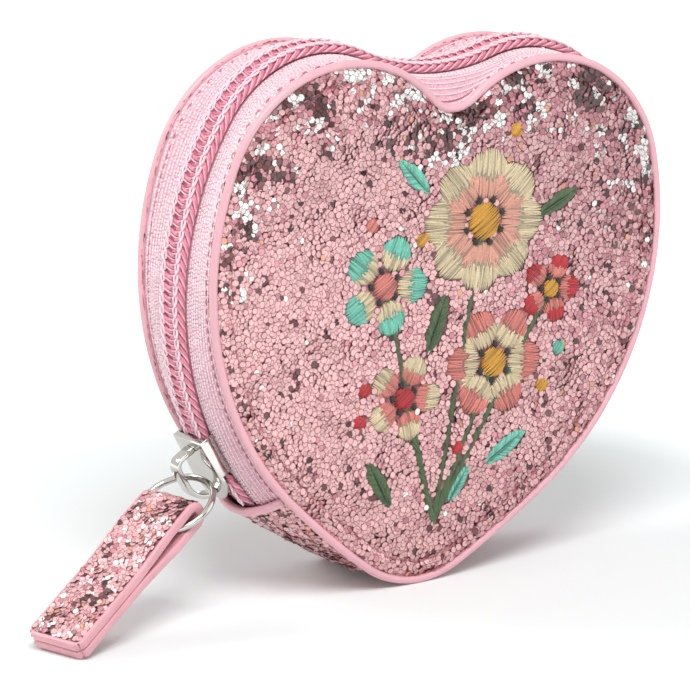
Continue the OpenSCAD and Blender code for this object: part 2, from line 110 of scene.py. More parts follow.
class HeartSizes(bpy.types.PropertyGroup):
    """Arcs of the heart's outline and the lean of the standing purse"""

    tip_r: span("Tip radius", 20.7, "Radius of the rounded tip")
    flank_r: span("Flank radius", 165, "Radius of the nearly straight flank")
    side_r: span("Side radius", 61, "Radius of the full curve of each side")
    lobe_r: span("Lobe radius", 27.6, "Radius of each lobe")
    notch_r: span("Notch radius", 6.2, "Radius of the notch between the lobes")
    tip_a: degrees("Tip slope", 58.3, "Slope of the normal where tip and flank meet")
    flank_a: degrees("Flank slope", 50, "Slope of the normal where flank and side meet")
    lobe_a: degrees("Lobe slope", 16.7, "Slope of the normal where side and lobe meet")
    lean: degrees("Lean", 5.9, "Lean of the standing purse towards its right side")
    seam_depth: span("Depth", 23.5, "Distance between the two lines of piping")
    piping_d: span("Piping", 1.6, "Diameter of the piping")
    stitch_inset: span("Stitch inset", STITCH_INSET, "Distance of the topstitch from the outline")


class ZipSizes(bpy.types.PropertyGroup):
    """Path and section of the zip"""

    end_a: degrees("Zip end", 48.5, "Slope of the outline's normal where the zip ends")
    side_r: span("Side path", 60.8, "Radius of the chain's path along each side")
    lobe_r: span("Lobe path", 23, "Radius of the chain's path over each lobe")
    notch_r: span("Sag", 42, "Radius of the chain's path between the lobes")
    lobe_x: span("Lobe place", 23.5, "Middle of the lobe path from the middle of the heart")
    lobe_z: span("Lobe height", 77.4, "Middle of the lobe path above the tip")
    lobe_a: degrees("Path slope", 27.7, "Slope where the side and lobe paths meet")
    chain_w: span("Chain width", 7, "Width of the closed chain")
    coil_h: span("Coil height", 2, "Height of the coils above the tape")
    coil_pitch: span("Coil pitch", 2, "Distance from one turn of a coil to the next")
    coil_wire: span("Coil thickness", 0.95, "Thickness of the coil's monofilament")
    head_reach: span("Head reach", 0.95, "Reach of the coil's heads past the middle")
    lean: FloatProperty(name="Lean", default=0.36, description="Lean of a turn's legs, in pitches")
    tape_t: span("Tape thickness", 0.5, "Thickness of the woven tape")
    tape_edge_y: span("Tape edge", 1.45, "Distance of the tape's edge from the middle")
    tape_flat_y: span("Level tape", 5.6, "Width over which the tape stays level")
    slider_stop: span("Slider stop", 2.4, "Distance of the slider's nose from the zip's end")
    slider_l: span("Slider length", 14.4, "Length of the slider")
    post_x: span("Post place", 3.15, "Start of the parting post from the slider's middle")
    post_w: span("Post width", 2.1, "Width of the parting post")
    stitch_y: span("Chain stitch", 2.1, "Distance of a coil's chain stitch from the middle")
    stitch_w: span("Chain stitch width", 0.82, "Distance between the strands of the chain stitch")
    stitch_d: span("Stitch thread", 0.48, "Thickness of the thread of the chain stitch")
    knit: span("Knit pitch", 0.72, "Distance from one raised stitch of the tape to the next")
    seam_y: span("Tape seam", 1.35, "Distance of the tape's row of stitches from the piping")


class GussetSizes(bpy.types.PropertyGroup):
    """Bulge of the gusset and the binding at the zip's ends"""

    rise: span("Gusset rise", 0.7, "Rise of the gusset over the coils at the zip's end")
    binding_w: span("Binding width", 2.2, "Width of the binding across the zip's end")


class GlitterSizes(bpy.types.PropertyGroup):
    """Flakes of the glitter fabric"""

    flake_r: span("Flake radius", 0.74, "Corner radius of a hexagonal flake")
    spacing: span("Flake spacing", 0.66, "Least distance between two flakes")
    tilt: degrees("Flake tilt", 6, "Usual tilt of a flake out of the surface")
    lay: FloatProperty(name="Lay", default=0.3, description="Lean that neighbouring flakes share")
    lay_size: span("Lay size", 5, "Distance over which that lean changes")
    seed: IntProperty(name="Seed", default=7, description="Seed of the scattered flakes")


class PurseColours(bpy.types.PropertyGroup):
    """Colours of the fabrics, threads and metal"""

    flake: colour("Flake", (0.81, 0.46, 0.47), "Usual colour of a glitter flake")
    flake_deep: colour("Deep flake", (0.60, 0.25, 0.29), "Colour of the redder flakes")
    # Dark flakes stand for painted dark reflections of flakes tilted towards dark surroundings
    flake_dark: colour("Dark flake", (0.088, 0.032, 0.033), "Colour of flakes that look dark")
    flake_gold: colour("Copper flake", (0.78, 0.36, 0.22), "Colour of the copper flakes")
    # The ground is partly its own colour and partly painted shade, darkened to stand for the shaded
    # crevices between the flakes
    ground: colour("Glitter ground", (0.28, 0.10, 0.11), "Fabric seen between the flakes")
    piping: colour("Piping", (0.82, 0.44, 0.50), "Smooth pink piping")
    # Tape ground and knit are one yarn: the knit's lighter colour is painted light on the raised
    # stitches, the ground's darker colour painted shade between them
    tape: colour("Tape", (0.82, 0.47, 0.56), "Ground of the zip tape, between its stitches")
    knit: colour("Knit", (1.0, 0.76, 0.81), "Raised stitches of the zip tape")
    coil: colour("Coil", (0.68, 0.215, 0.295), "Nylon coil")
    # The strand's lighter colour is a painted highlight on the lit edge of each turn
    coil_light: colour("Coil strand", (0.86, 0.46, 0.56), "Thin strand beside each turn of a coil")
    thread: colour("Thread", (1.0, 0.70, 0.77), "Chain stitch over the coils")
    # The seam's dark thread is a painted shade of the seam between the tape and the piping
    seam: colour("Seam", (0.62, 0.20, 0.28), "Stitches beside the piping")
    topstitch: colour("Topstitch", (0.60, 0.17, 0.22), "Stitches that quilt the panels")
    lining: colour("Lining", (0.74, 0.38, 0.46), "Lining fabric")
    metal: colour("Metal", (0.57, 0.55, 0.52), "Bright plated metal")
    edge: colour("Edge paint", (0.78, 0.38, 0.43), "Painted edge of the tab")


class StageSizes(bpy.types.PropertyGroup):
    """Floor, light and the photograph's view"""

    azimuth: degrees("Azimuth", -36.63, "Turn of the camera round the heart's own upright")
    elevation: degrees("Elevation", 11.575, "Height of the camera over the heart's level")
    roll: degrees("Roll", 4.943, "Roll of the camera about its line of sight")
    lens: FloatProperty(name="Lens", default=373.88, description="Focal length in millimetres")
    key: FloatProperty(name="Key light", default=6.0, description="Power of the key light in watts")
    fill: FloatProperty(name="Fill light", default=1.0, description="Power of the fill light in watts")
    back: FloatProperty(name="Back light", default=2.0, description="Power of the back light in watts")


def heart():
    return bpy.context.scene.heart_sizes


def zip_sizes():
    return bpy.context.scene.zip_sizes


def colours():
    return bpy.context.scene.purse_colours


# Plane geometry of the heart: X to the right, Z up, tip at the origin

def ray(r, a):
    return Vector((r*math.cos(a), r*math.sin(a)))


class Arc:
    """An arc of a path, from slope a0 to a1 of its outward normal. Hollow arcs curve inwards."""

    def __init__(self, centre, r, a0, a1, hollow=False):
        self.centre, self.r, self.a0, self.a1, self.hollow = centre, r, a0, a1, hollow
        self.length = r*abs(a1 - a0)

    def at(self, share, out):
        """Point raised outwards by out, and the slope of the normal"""
        a = self.a0 + (self.a1 - self.a0)*share
        r = out - self.r if self.hollow else self.r + out
        return self.centre + ray(r, a), a


def outline_arcs():
    """Arcs of the right half of the heart: tip, flank, side, lobe, notch"""
    h = heart()
    tip = Vector((0, h.tip_r))
    flank = tip + ray(h.tip_r - h.flank_r, -h.tip_a)
    side = flank + ray(h.flank_r - h.side_r, -h.flank_a)
    lobe = side + ray(h.side_r - h.lobe_r, h.lobe_a)
    notch_a = math.acos(-lobe.x/(h.lobe_r + h.notch_r))
    notch = lobe + ray(h.lobe_r + h.notch_r, notch_a)
    return [
        Arc(tip, h.tip_r, -math.pi/2, -h.tip_a),
        Arc(flank, h.flank_r, -h.tip_a, -h.flank_a),
        Arc(side, h.side_r, -h.flank_a, h.lobe_a),
        Arc(lobe, h.lobe_r, h.lobe_a, notch_a),
        Arc(notch, h.notch_r, notch_a, math.pi/2, hollow=True),
    ]


def seam_arcs():
    """Arcs of the outline on the right half above the zip's end"""
    side, lobe, notch = outline_arcs()[2:]
    return [Arc(side.centre, side.r, -zip_sizes().end_a, side.a1), lobe, notch]


def chain_arcs():
    """Arcs of the chain's path on the right half: side, lobe, sag"""
    z = zip_sizes()
    side_seam = outline_arcs()[2]
    lobe = Vector((z.lobe_x, z.lobe_z))
    side = lobe - ray(z.side_r - z.lobe_r, z.lobe_a)
    end = side_seam.centre + ray(side_seam.r, -z.end_a) - side
    notch_a = math.acos(-z.lobe_x/(z.lobe_r + z.notch_r))
    notch = lobe + ray(z.lobe_r + z.notch_r, notch_a)
    return [
        Arc(side, z.side_r, math.atan2(end.y, end.x), z.lobe_a),
        Arc(lobe, z.lobe_r, z.lobe_a, notch_a),
        Arc(notch, z.notch_r, notch_a, math.pi/2, hollow=True),
    ]


def along(arcs, length, out):
    """Point at a length along joined arcs, raised by out, and the slope of its normal"""
    for arc in arcs[:-1]:
        if length <= arc.length:
            return arc.at(length/arc.length, out)
        length -= arc.length
    return arcs[-1].at(min(1, length/arcs[-1].length), out)


def heart_height():
    lobe = outline_arcs()[3]
    return lobe.centre.y + lobe.r


def seam_y():
    return heart().seam_depth/2


def face_y():
    return seam_y() + heart().piping_d/2


def placed():
    """Matrix that takes the upright heart into the row's frame"""
    return (
        Matrix.Translation((0, -face_y(), 0))
        @ Matrix.Rotation(heart().lean, 4, "Y")
        @ Matrix.Translation((0, 0, -heart_height()/2))
    )


# Mesh makers

def linked(name, data):
    """A new object in the scene"""
    made = bpy.data.objects.new(name, data)
    bpy.context.scene.collection.objects.link(made)
    return made


def finished(bm, name, smooth=True):
    """Turns a bmesh into an object at the origin"""
    bmesh.ops.recalc_face_normals(bm, faces=bm.faces)
    mesh = bpy.data.meshes.new(name)
    bm.to_mesh(mesh)
    bm.free()
    if smooth:
        mesh.shade_smooth()
    return linked(name, mesh)


def bent_grid(steps, shape):
    """A grid bent to shape(u, v), with u and v from 0 to 1, its meeting edges joined"""
    bm = bmesh.new()
    made = bmesh.ops.create_grid(bm, x_segments=steps[0], y_segments=steps[1], size=0.5)["verts"]
    for vert in made:
        vert.co = shape(vert.co.x + 0.5, vert.co.y + 0.5)
    bmesh.ops.remove_doubles(bm, verts=made, dist=1e-6)
    return bm


def sheet(name, steps, shape):
    return finished(bent_grid(steps, shape), name)


def capped(bm):
    """Closes the ends of a small tube"""
    bmesh.ops.holes_fill(bm, edges=[e for e in bm.edges if e.is_boundary], sides=0)
    bmesh.ops.recalc_face_normals(bm, faces=bm.faces)
    return bm


def thicken(piece, depth, offset=-1):
    """Gives a sheet its thickness"""
    solid = piece.modifiers.new("Thickness", "SOLIDIFY")
    solid.thickness = depth
    solid.offset = offset
    solid.use_even_offset = True


def circle(v, r=1.0):
    """Across and up on a round section"""
    return r*math.cos(2*math.pi*v), r*math.sin(2*math.pi*v)


def framed(x, y, z, at):
    """Matrix with these axes at a point"""
    matrix = Matrix((x, y, z)).transposed().to_4x4()
    matrix.translation = at
    return matrix


def stamped(name, stamp, places, tints=None, smooth=True):
    """One mesh of many copies of a small shape, each at its own matrix and with its own tint.
    The tint's alpha is a vertex's distance from the shape's own axis."""
    verts = np.array([v.co for v in stamp.verts], dtype=float)
    stamp.verts.index_update()
    faces = [[v.index for v in f.verts] for f in stamp.faces]
    stamp.free()
    mats = np.array([[list(row) for row in m] for m in places], dtype=float)
    points = np.einsum("nij,vj->nvi", mats[:, :3, :3], verts) + mats[:, None, :3, 3]
    count = len(verts)
    corners = [[i + k*count for i in f] for k in range(len(places)) for f in faces]
    mesh = bpy.data.meshes.new(name)
    mesh.from_pydata(points.reshape(-1, 3).tolist(), [], corners)
    if tints is not None:
        layer = mesh.color_attributes.new("tint", "FLOAT_COLOR", "POINT")
        rim = np.tile(np.hypot(verts[:, 0], verts[:, 1]), len(places))
        rows = np.column_stack((np.repeat(np.array(tints), count, axis=0), rim))
        layer.data.foreach_set("color", rows.astype(np.float32).ravel())
    if smooth:
        mesh.shade_smooth()
    return linked(name, mesh)


def settled(piece, body, slot, *nodes):
    """Puts a piece, made on the upright heart, into the row's frame and onto its body"""
    piece.data.transform(placed())
    return dressed(piece, body, slot, *nodes)


def dressed(piece, body, slot, *nodes):
    """Makes a piece ride on its body, take its material and stand for its nodes"""
    piece.data.materials.clear()
    piece.data.materials.append(bpy.data.materials[slot])
    if body:
        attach(piece, body)
    if nodes:
        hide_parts(*nodes)
    return piece


# Materials


class Tree:
    """Short ways to add nodes to a node tree and to its surface"""

    def __init__(self, tree, surface):
        self.nodes, self.links = tree.nodes, tree.links
        self.surface = self.nodes[surface]

    def fill(self, node, **inputs):
        """Sets sockets to constants or links them to outputs. An _ stands for a space in a socket's
        name, and i0, i1 and so on for its number."""
        for name, value in inputs.items():
            numbered = name[0] == "i" and name[1:].isdigit()
            target = node.inputs[int(name[1:]) if numbered else name.replace("_", " ")]
            if isinstance(value, bpy.types.NodeSocket):
                self.links.new(value, target)
            else:
                target.default_value = value

    def face(self, **inputs):
        self.fill(self.surface, **inputs)

    def node(self, kind, **inputs):
        made = self.nodes.new("ShaderNode" + kind)
        self.fill(made, **inputs)
        return made

    def math(self, operation, *values):
        made = self.node("Math", **{"i" + str(k): value for k, value in enumerate(values)})
        made.operation = operation
        return made.outputs[0]

    def seen_plainly(self):
        """1 for what the camera sees directly, in a reflection or through glass, else 0"""
        seen = self.node("LightPath").outputs
        other = self.math("MAXIMUM", seen["Is Glossy Ray"], seen["Is Transmission Ray"])
        return self.math("MAXIMUM", seen["Is Camera Ray"], other)


class Shader(Tree):
    """A new material with its Principled shader"""

    def __init__(self, name, base, roughness=0.5, metallic=0.0, **sockets):
        self.material = bpy.data.materials.new(name)
        self.material.use_nodes = True
        self.material.diffuse_color = (*base, 1)
        super().__init__(self.material.node_tree, "Principled BSDF")
        self.face(Base_Color=(*base, 1), Roughness=roughness, Metallic=metallic, **sockets)

    def place(self):
        return self.node("TexCoord").outputs["Object"]

    def texture(self, kind, scale, **sockets):
        """Outputs of a texture on the piece's own coordinates"""
        return self.node("Tex" + kind, Vector=self.place(), Scale=scale, **sockets).outputs

    def attribute(self, name):
        made = self.node("Attribute")
        made.attribute_name = name
        return made.outputs

    def ramp(self, factor, stops):
        made = self.node("ValToRGB", Fac=factor)
        ramp = made.color_ramp
        while len(ramp.elements) < len(stops):
            ramp.elements.new(0.5)
        for element, (position, tone) in zip(ramp.elements, stops):
            element.position = position
            element.color = (*tone, 1)
        return made.outputs["Color"]

    def mix(self, factor, a, b, blend):
        made = self.nodes.new("ShaderNodeMix")
        made.data_type = "RGBA"
        made.blend_type = blend
        self.fill(made, Factor=factor, i6=a, i7=b)
        return made.outputs[2]

    def bump(self, height, strength, depth):
        """Relief of a strength and a depth in millimetres"""
        made = self.node("Bump", Strength=strength, Distance=depth*MM, Height=height)
        self.face(Normal=made.outputs["Normal"])


BOARD = (0.72, 0.70, 0.66)


def shade(base, share):
    """A colour made darker or lighter by a share"""
    return tuple(min(1, c*share) for c in base)


def glitter_ground():
    c = colours()
    s = Shader("glitter ground", c.ground, 0.5, 0.2)
    cells = s.texture("Voronoi", 1500)
    stops = [(0, shade(c.ground, 0.5)), (0.5, c.ground), (1, c.flake_deep)]
    s.face(Base_Color=s.ramp(cells["Color"], stops))
    s.bump(cells["Distance"], 0.6, 0.3)


def glitter_flake():
    """The tint of each flake, its rim darkened as painted shade of the crevices between the flakes.
    The tint's alpha runs from the middle to the rim.
    """
    s = Shader("glitter flake", colours().flake, 0.33, 0.3, Coat_Weight=0.3, Coat_Roughness=0.15)
    tint = s.attribute("tint")
    fine = s.texture("Noise", 1800, Detail=2)
    tone = s.mix(0.12, tint["Color"], fine["Color"], "OVERLAY")
    rim = s.ramp(tint["Alpha"], [(0.83, (1, 1, 1)), (0.93, (0.24, 0.12, 0.12))])
    s.face(Base_Color=s.mix(1.0, tone, rim, "MULTIPLY"))
    s.bump(fine["Fac"], 0.15, 0.1)


def toned(s, grain, base, tones, stops=(0.3, 0.7)):
    """Lets a texture vary a finish between two shares of its colour"""
    s.face(Base_Color=s.ramp(grain, [(at, shade(base, tone)) for at, tone in zip(stops, tones)]))


def finish(name, base, roughness, grain, tones, relief, **sockets):
    """A finish whose colour and relief follow one noise of a scale and a detail"""
    s = Shader(name, base, roughness, **sockets)
    fibre = s.texture("Noise", grain[0], Detail=grain[1])["Fac"]
    toned(s, fibre, base, tones)
    s.bump(fibre, *relief)
    return s, fibre


def thread_finish(name, base):
    """Twisted thread: fine slanted plies with a soft sheen"""
    s = Shader(name, base, Sheen_Weight=0.4)
    ply = s.texture("Wave", 900, Distortion=2, Detail=1)["Fac"]
    toned(s, ply, base, (0.82, 1.06), stops=(0, 0.6))
    s.bump(ply, 0.4, 0.1)


def piping_finish(base):
    """Broad clouds in the colour and a fine grain"""
    s = Shader("smooth piping", base, 0.42, Coat_Weight=0.25, Coat_Roughness=0.3)
    toned(s, s.texture("Noise", 60, Detail=2)["Fac"], base, (0.93, 1.06))
    s.bump(s.texture("Noise", 900, Detail=4)["Fac"], 0.12, 0.2)


def lining_finish(base):
    """Woven cloth: warp and weft"""
    s = Shader("lining cloth", base, 0.6, Sheen_Weight=0.3)
    warp, weft = s.texture("Wave", 800), s.node("TexWave", Vector=s.place(), Scale=800)
    weft.bands_direction = "Z"
    cloth = s.math("MULTIPLY", warp["Fac"], weft.outputs["Fac"])
    toned(s, cloth, base, (0.8, 1.1), stops=(0, 1))
    s.bump(cloth, 0.4, 0.2)


def embroidery_finish():
    """Satin stitch in coloured thread, the colour held by each stitch"""
    s = Shader("embroidery thread", (0.8, 0.7, 0.5), 0.45, Sheen_Weight=0.3)
    ply = s.texture("Noise", 2200, Detail=2)["Fac"]
    light = s.ramp(ply, [(0.3, (0.6, 0.6, 0.6)), (0.7, (1, 1, 1))])
    s.face(Base_Color=s.mix(0.5, s.attribute("tint")["Color"], light, "MULTIPLY"))
    s.bump(ply, 0.4, 0.1)


class PURSE_OT_materials(bpy.types.Operator):
    """Makes the finishes of the purse: glitter, cloth, nylon, thread, leather and metal"""

    bl_idname = "purse.materials"
    bl_label = "Make Finishes"

    def execute(self, context):
        c = colours()
        glitter_ground()
        glitter_flake()
        piping_finish(c.piping)
        lining_finish(c.lining)
        embroidery_finish()
        for name, base in (
            ("knitted yarn", c.knit), ("sewing thread", c.thread),
            ("topstitch thread", c.topstitch), ("seam thread", c.seam),
        ):
            thread_finish(name, base)
        for name, base in (("nylon coil", c.coil), ("nylon strand", c.coil_light)):
            finish(name, base, 0.35, (500, 3), (0.82, 1.2), (0.1, 0.2), Coat_Weight=0.3)
        finish("woven tape", c.tape, 0.8, (2500, 2), (0.75, 1.15), (0.4, 0.1), Sheen_Weight=0.3)
        finish("grey board", BOARD, 0.9, (700, 8), (0.8, 1), (0.3, 0.2))
        finish("tab backing", shade(c.edge, 0.9), 0.8, (1200, 5), (0.8, 1.1), (0.4, 0.2))
        finish("edge paint", c.edge, 0.38, (160, 2), (0.92, 1.07), (0.2, 0.3),
               Coat_Weight=0.4, Coat_Roughness=0.2)
        metal, haze = finish(
            "plated metal", c.metal, 0.14, (350, 3), (0.9, 1), (0.04, 0.2), metallic=1.0)
        metal.face(Roughness=metal.math("MULTIPLY", haze, 0.2))
        return {"FINISHED"}


# Glitter flakes

def surface_samples(piece, count, chance):
    """Evenly random points on a mesh's triangles, with their normals"""
    mesh = piece.data
    mesh.calc_loop_triangles()
    corners = np.array([[mesh.vertices[i].co for i in t.vertices] for t in mesh.loop_triangles])
    crosses = np.cross(corners[:, 1] - corners[:, 0], corners[:, 2] - corners[:, 0])
    areas = np.linalg.norm(crosses, axis=1)
    normals = crosses/np.maximum(areas, 1e-15)[:, None]
    picked = chance.choice(len(areas), size=count, p=areas/areas.sum())
    a, b = chance.random(count), chance.random(count)
    flip = a + b > 1
    a[flip], b[flip] = 1 - a[flip], 1 - b[flip]
    tri = corners[picked]
    points = tri[:, 0] + (tri[:, 1] - tri[:, 0])*a[:, None] + (tri[:, 2] - tri[:, 0])*b[:, None]
    return points, normals[picked], areas.sum()/2


def spaced(points, gap):
    """Indices of points that keep a least distance from each other, first come first kept"""
    grid, kept = {}, []
    cells = np.floor(points/gap).astype(int)
    near = [(x, y, z) for x in (-1, 0, 1) for y in (-1, 0, 1) for z in (-1, 0, 1)]
    for i, (cell, point) in enumerate(zip(map(tuple, cells), points)):
        around_it = (grid.get((cell[0] + x, cell[1] + y, cell[2] + z)) for x, y, z in near)
        if any(q is not None and ((q - point)**2).sum() < gap*gap for q in around_it):
            continue
        grid[cell] = point
        kept.append(i)
    return kept


def flake_stamp():
    """A hexagonal flake, flat above and with a shallow point below"""
    bm = bmesh.new()
    bmesh.ops.create_cone(bm, segments=6, radius1=0, radius2=1, depth=0.3, cap_ends=True)
    bmesh.ops.remove_doubles(bm, verts=bm.verts, dist=1e-5)
    bmesh.ops.poke(bm, faces=[f for f in bm.faces if len(f.verts) == 6])
    bmesh.ops.recalc_face_normals(bm, faces=bm.faces)
    return bm


# Size and lift of a flake in flake radii: the least, and how far chance adds to the size
LEAST_FLAKE, FLAKE_SPREAD, LEAST_LIFT = 0.88, 0.2, 0.05
# Places tried for each square of the spacing
TRIES = 5


def flakes(name, cloth, tint_at, keep=None, ruffle=1.0, rise=0.36):
    """Covers a cloth with flakes, each tilted, turned and raised a little, tinted by place"""
    g = bpy.context.scene.glitter_sizes
    gap = g.spacing
    chance = np.random.default_rng(g.seed + len(name))
    noise.seed_set(g.seed)
    area = surface_samples(cloth, 1, chance)[2]
    points, normals, _ = surface_samples(cloth, int(TRIES*area/gap**2), chance)
    if keep is not None:
        wanted = [i for i in range(len(points)) if keep(points[i], normals[i])]
        points, normals = points[wanted], normals[wanted]
    places, tints = [], []
    for i in spaced(points, gap):
        normal = Vector(normals[i])
        lean = normal.orthogonal().normalized()
        lean.rotate(Matrix.Rotation(chance.random()*2*math.pi, 3, normal))
        tilt = abs(chance.normal(0, g.tilt*ruffle))
        shared = noise.noise_vector(Vector(points[i])/g.lay_size)*g.lay
        shared -= normal*normal.dot(shared)
        up = (normal*math.cos(tilt) + lean*math.sin(tilt) + shared).normalized()
        turn = up.to_track_quat("Z", "Y").to_matrix() @ Matrix.Rotation(chance.random()*2, 3, "Z")
        size = g.flake_r*(LEAST_FLAKE + FLAKE_SPREAD*chance.random())
        lift = g.flake_r*(LEAST_LIFT + rise*chance.random())
        place = turn.to_4x4() @ Matrix.Scale(size, 4)
        place.translation = Vector(points[i]) + normal*lift
        places.append(place)
        tints.append(tint_at(points[i], chance))
    return stamped(name, flake_stamp(), places, tints, smooth=False)


def held(value):
    """A value kept between 0 and 1"""
    return max(0.0, min(1.0, value))


def eased(value):
    """The same, leaving 0 and reaching 1 softly"""
    t = held(value)
    return t*t*(3 - 2*t)


def patch(point, scale, seed):
    """Smooth noise from 0 to 1 at a point"""
    return 0.5 + 0.5*noise.noise(Vector(point)/scale + Vector((seed, 0, seed)))


def flake_tint(chance, dark=0.02, white=0.004, gold=0.004, deep=0.06):
    """Colour of a flake, by chance; white flakes are painted glints and dark flakes painted dark
    reflections
    """
    c = colours()
    draw = chance.random()
    for share, tint, least, spread in (
        (white, (1.0, 0.98, 0.96), 1, 0), (dark, c.flake_dark, 0.5, 2.0),
        (gold, c.flake_gold, 0.9, 0.2), (deep, c.flake_deep, 0.8, 0.5),
    ):
        if draw < share:
            return shade(tint, least + spread*chance.random())
        draw -= share
    return shade(c.flake, 0.90 + 0.18*chance.random())


# Panels

# Heights of the fabric over the panel's face at insets from the outline, in millimetres. The
# topstitch pulls it down to GROOVE.
GROOVE = -0.55
CROWN = [
    (0.9, -1.5), (1.5, -1.0), (2.1, -0.45), (3.1, -0.1), (3.8, -0.2), (STITCH_INSET, GROOVE),
    (5.3, 0.02), (6.6, 0.16), (9.0, 0.2),
]
DOME = 0.15


def crown(d):
    """Height of the fabric at an inset d, in millimetres"""
    for (d0, h0), (d1, h1) in zip(CROWN, CROWN[1:]):
        if d <= d1:
            return h0 + (h1 - h0)*eased((d - d0)/(d1 - d0))
    return CROWN[-1][1]


def panel_shape(side):
    """Shape of a panel's outer face. Side is -1 for the front and 1 for the back."""
    arcs = outline_arcs()
    edge, inner = CROWN[0][0]*MM, CROWN[-1][0]*MM
    middle = Vector((0, heart_height()*MIDDLE_SHARE))
    rim_share = 0.45

    def at(u, v):
        out = -(edge + (inner - edge)*min(1, v/rim_share))
        point, _ = around(arcs, u, out)
        height = crown(-out/MM)
        t = max(0, (v - rim_share)/(1 - rim_share))
        point = point.lerp(middle, t)
        height += DOME*(1 - (1 - t)**2)
        wave = 0.12*noise.noise(Vector((point.x, side, point.y))*90)
        return Vector((point.x, side*(face_y() + (height + wave)*MM), point.y))
    return at


def mirrored(point, a):
    """The same point and slope on the other half"""
    return Vector((-point.x, point.y)), math.pi - a


def around(arcs, share, out):
    """Point on the whole outline, from the tip up the right side and down the left"""
    total = sum(arc.length for arc in arcs)
    if share <= 0.5:
        return along(arcs, total*2*share, out)
    return mirrored(*along(arcs, total*2*(1 - share), out))


# Sizes of the clouds of painted dark reflections, and of the smaller spots of painted glints and
# streaks of painted dark reflections
CLOUD, SPOT = 7*MM, 4*MM


def panel_tint(side):
    """Colours of a panel's flakes: painted dark reflections and painted glints near the upper border,
    painted shade to the right and beside the piping, darker towards the top
    """
    arcs = outline_arcs()
    line = [around(arcs, k/240, 0)[0] for k in range(240)]
    line = np.array([(p.x, p.y) for p in line])

    def tint(point, chance):
        inset = np.sqrt(((line - point[[0, 2]])**2).sum(axis=1)).min()/MM
        height = point[2]/heart_height()
        upper = held((height - 0.5)/0.3)
        border = held(1 - (inset - 4)/13)*upper
        # Painted shade along the channel between the piping and the topstitch
        rim = held(STITCH_INSET - 0.4 - inset)
        dark_reflection_cloud = patch(point, CLOUD, side)
        dark_reflection_streak = patch((point[0] + point[2], 0, (point[2] - point[0])*0.3), SPOT, side + 4)
        # Painted shade: light falls from the left, so flakes to the right are darker, more often dark
        # and more often redder
        right = held(point[0]/heart().side_r + 0.35)*held(0.3 + height)
        edge = 0.47 if point[0] < 0 else 0.54
        # Dark flakes: painted dark reflections in clouds near the upper border and in streaks, and
        # painted shade to the right and beside the piping
        dark = 0.008 + 0.04*right + 0.75*border*held((dark_reflection_cloud - edge)*9) + 0.05*rim
        dark += 0.4*held((dark_reflection_streak - 0.68)*6)
        # White flakes are painted glints, gathered in spots near the upper border
        bright = patch(point, SPOT, side + 9)
        white = 0.004 + 0.03*border + 0.9*border*held((bright - 0.565)*16)
        rosy = 0.03 + 0.3*border + 0.6*right*patch(point, 6*MM, side + 2)
        # Flakes darker to the right as painted shade, and darker towards the top
        level = 1 - 0.18*right - 0.13*upper
        return shade(flake_tint(chance, dark=dark, white=white, deep=rosy), level)
    return tint


def make_panel(side, body):
    cloth = sheet(body + "_panel_cloth", (360, 44), panel_shape(side))
    sewn = stitched_cells() if side < 0 else set()

    def bare(point, normal):
        return stitch_cell(point[0], point[2]) not in sewn
    cover = flakes(body + "_panel_glitter", cloth, panel_tint(side), keep=bare)
    thicken(cloth, CLOTH_T)
    settled(cloth, body, "glitter ground", body + "_panel")
    settled(cover, body, "glitter flake")


class PURSE_OT_panels(bpy.types.Operator):
    """Models the two heart panels with their crowned cloth and glitter"""

    bl_idname = "purse.panels"
    bl_label = "Make Panels"

    def execute(self, context):
        for side, body in SIDES:
            make_panel(side, body)
        return {"FINISHED"}


# Piping

def piping_shape(side):
    """A smooth cord round the panel, a little uneven where it is sewn"""
    arcs = outline_arcs()
    r = heart().piping_d/2

    def at(u, v):
        point, a = around(arcs, u, -r)
        uneven = 1 + 0.035*noise.noise(Vector((point.x, side, point.y))*160)
        across, up = circle(v, r*uneven)
        point = point + ray(across, a)
        return Vector((point.x, side*(seam_y() + up), point.y))
    return at


class PURSE_OT_piping(bpy.types.Operator):
    """Models the smooth piping round both panels"""

    bl_idname = "purse.piping"
    bl_label = "Make Piping"

    def execute(self, context):
        for side, body in SIDES:
            cord = sheet(body + "_piping_cord", (420, 16), piping_shape(side))
            settled(cord, body, "smooth piping", body + "_piping")
        return {"FINISHED"}


# Zip

def gusset_half():
    """Half the width between the two lines of piping"""
    return seam_y() - heart().piping_d/2 - 0.1*MM


def wall_at(u, y, depth):
    """Point of the zip's wall: u along it, y from the middle, depth below its outer face"""
    z = zip_sizes()
    seams, chains = seam_arcs(), chain_arcs()
    total = sum(arc.length for arc in chains)
    left = u <= 0.5
    length = total*2*(u if left else 1 - u)
    for seam, chain in zip(seams, chains):
        if length <= chain.length or chain is chains[-1]:
            share = min(1, length/chain.length)
            break
        length -= chain.length
    edge = gusset_half()
    t = eased((edge - abs(y))/(edge - z.tape_flat_y))
    outer = seam.at(share, -heart().piping_d/2 - depth)[0]
    point = outer.lerp(chain.at(share, -depth)[0], t)
    return Vector((-point.x if left else point.x, y, point.y))


# Length of tape under the binding at each end
TAPE_TUCK = 1.2*MM


def tape_shape(side):
    """Outer face of a tape, from the piping to its edge under the coil, its ends tucked under the
    bindings"""
    edge, inner = gusset_half(), zip_sizes().tape_edge_y
    tuck = TAPE_TUCK/chain_length()

    def at(u, v):
        y = edge + (inner - edge)*v
        ripple = 0.06*MM*noise.noise(Vector((u*40, side, v*2)))
        return wall_at(u*(1 + 2*tuck) - tuck, side*y, ripple + 0.02*MM)
    return at


def chain_length():
    return 2*sum(arc.length for arc in chain_arcs())


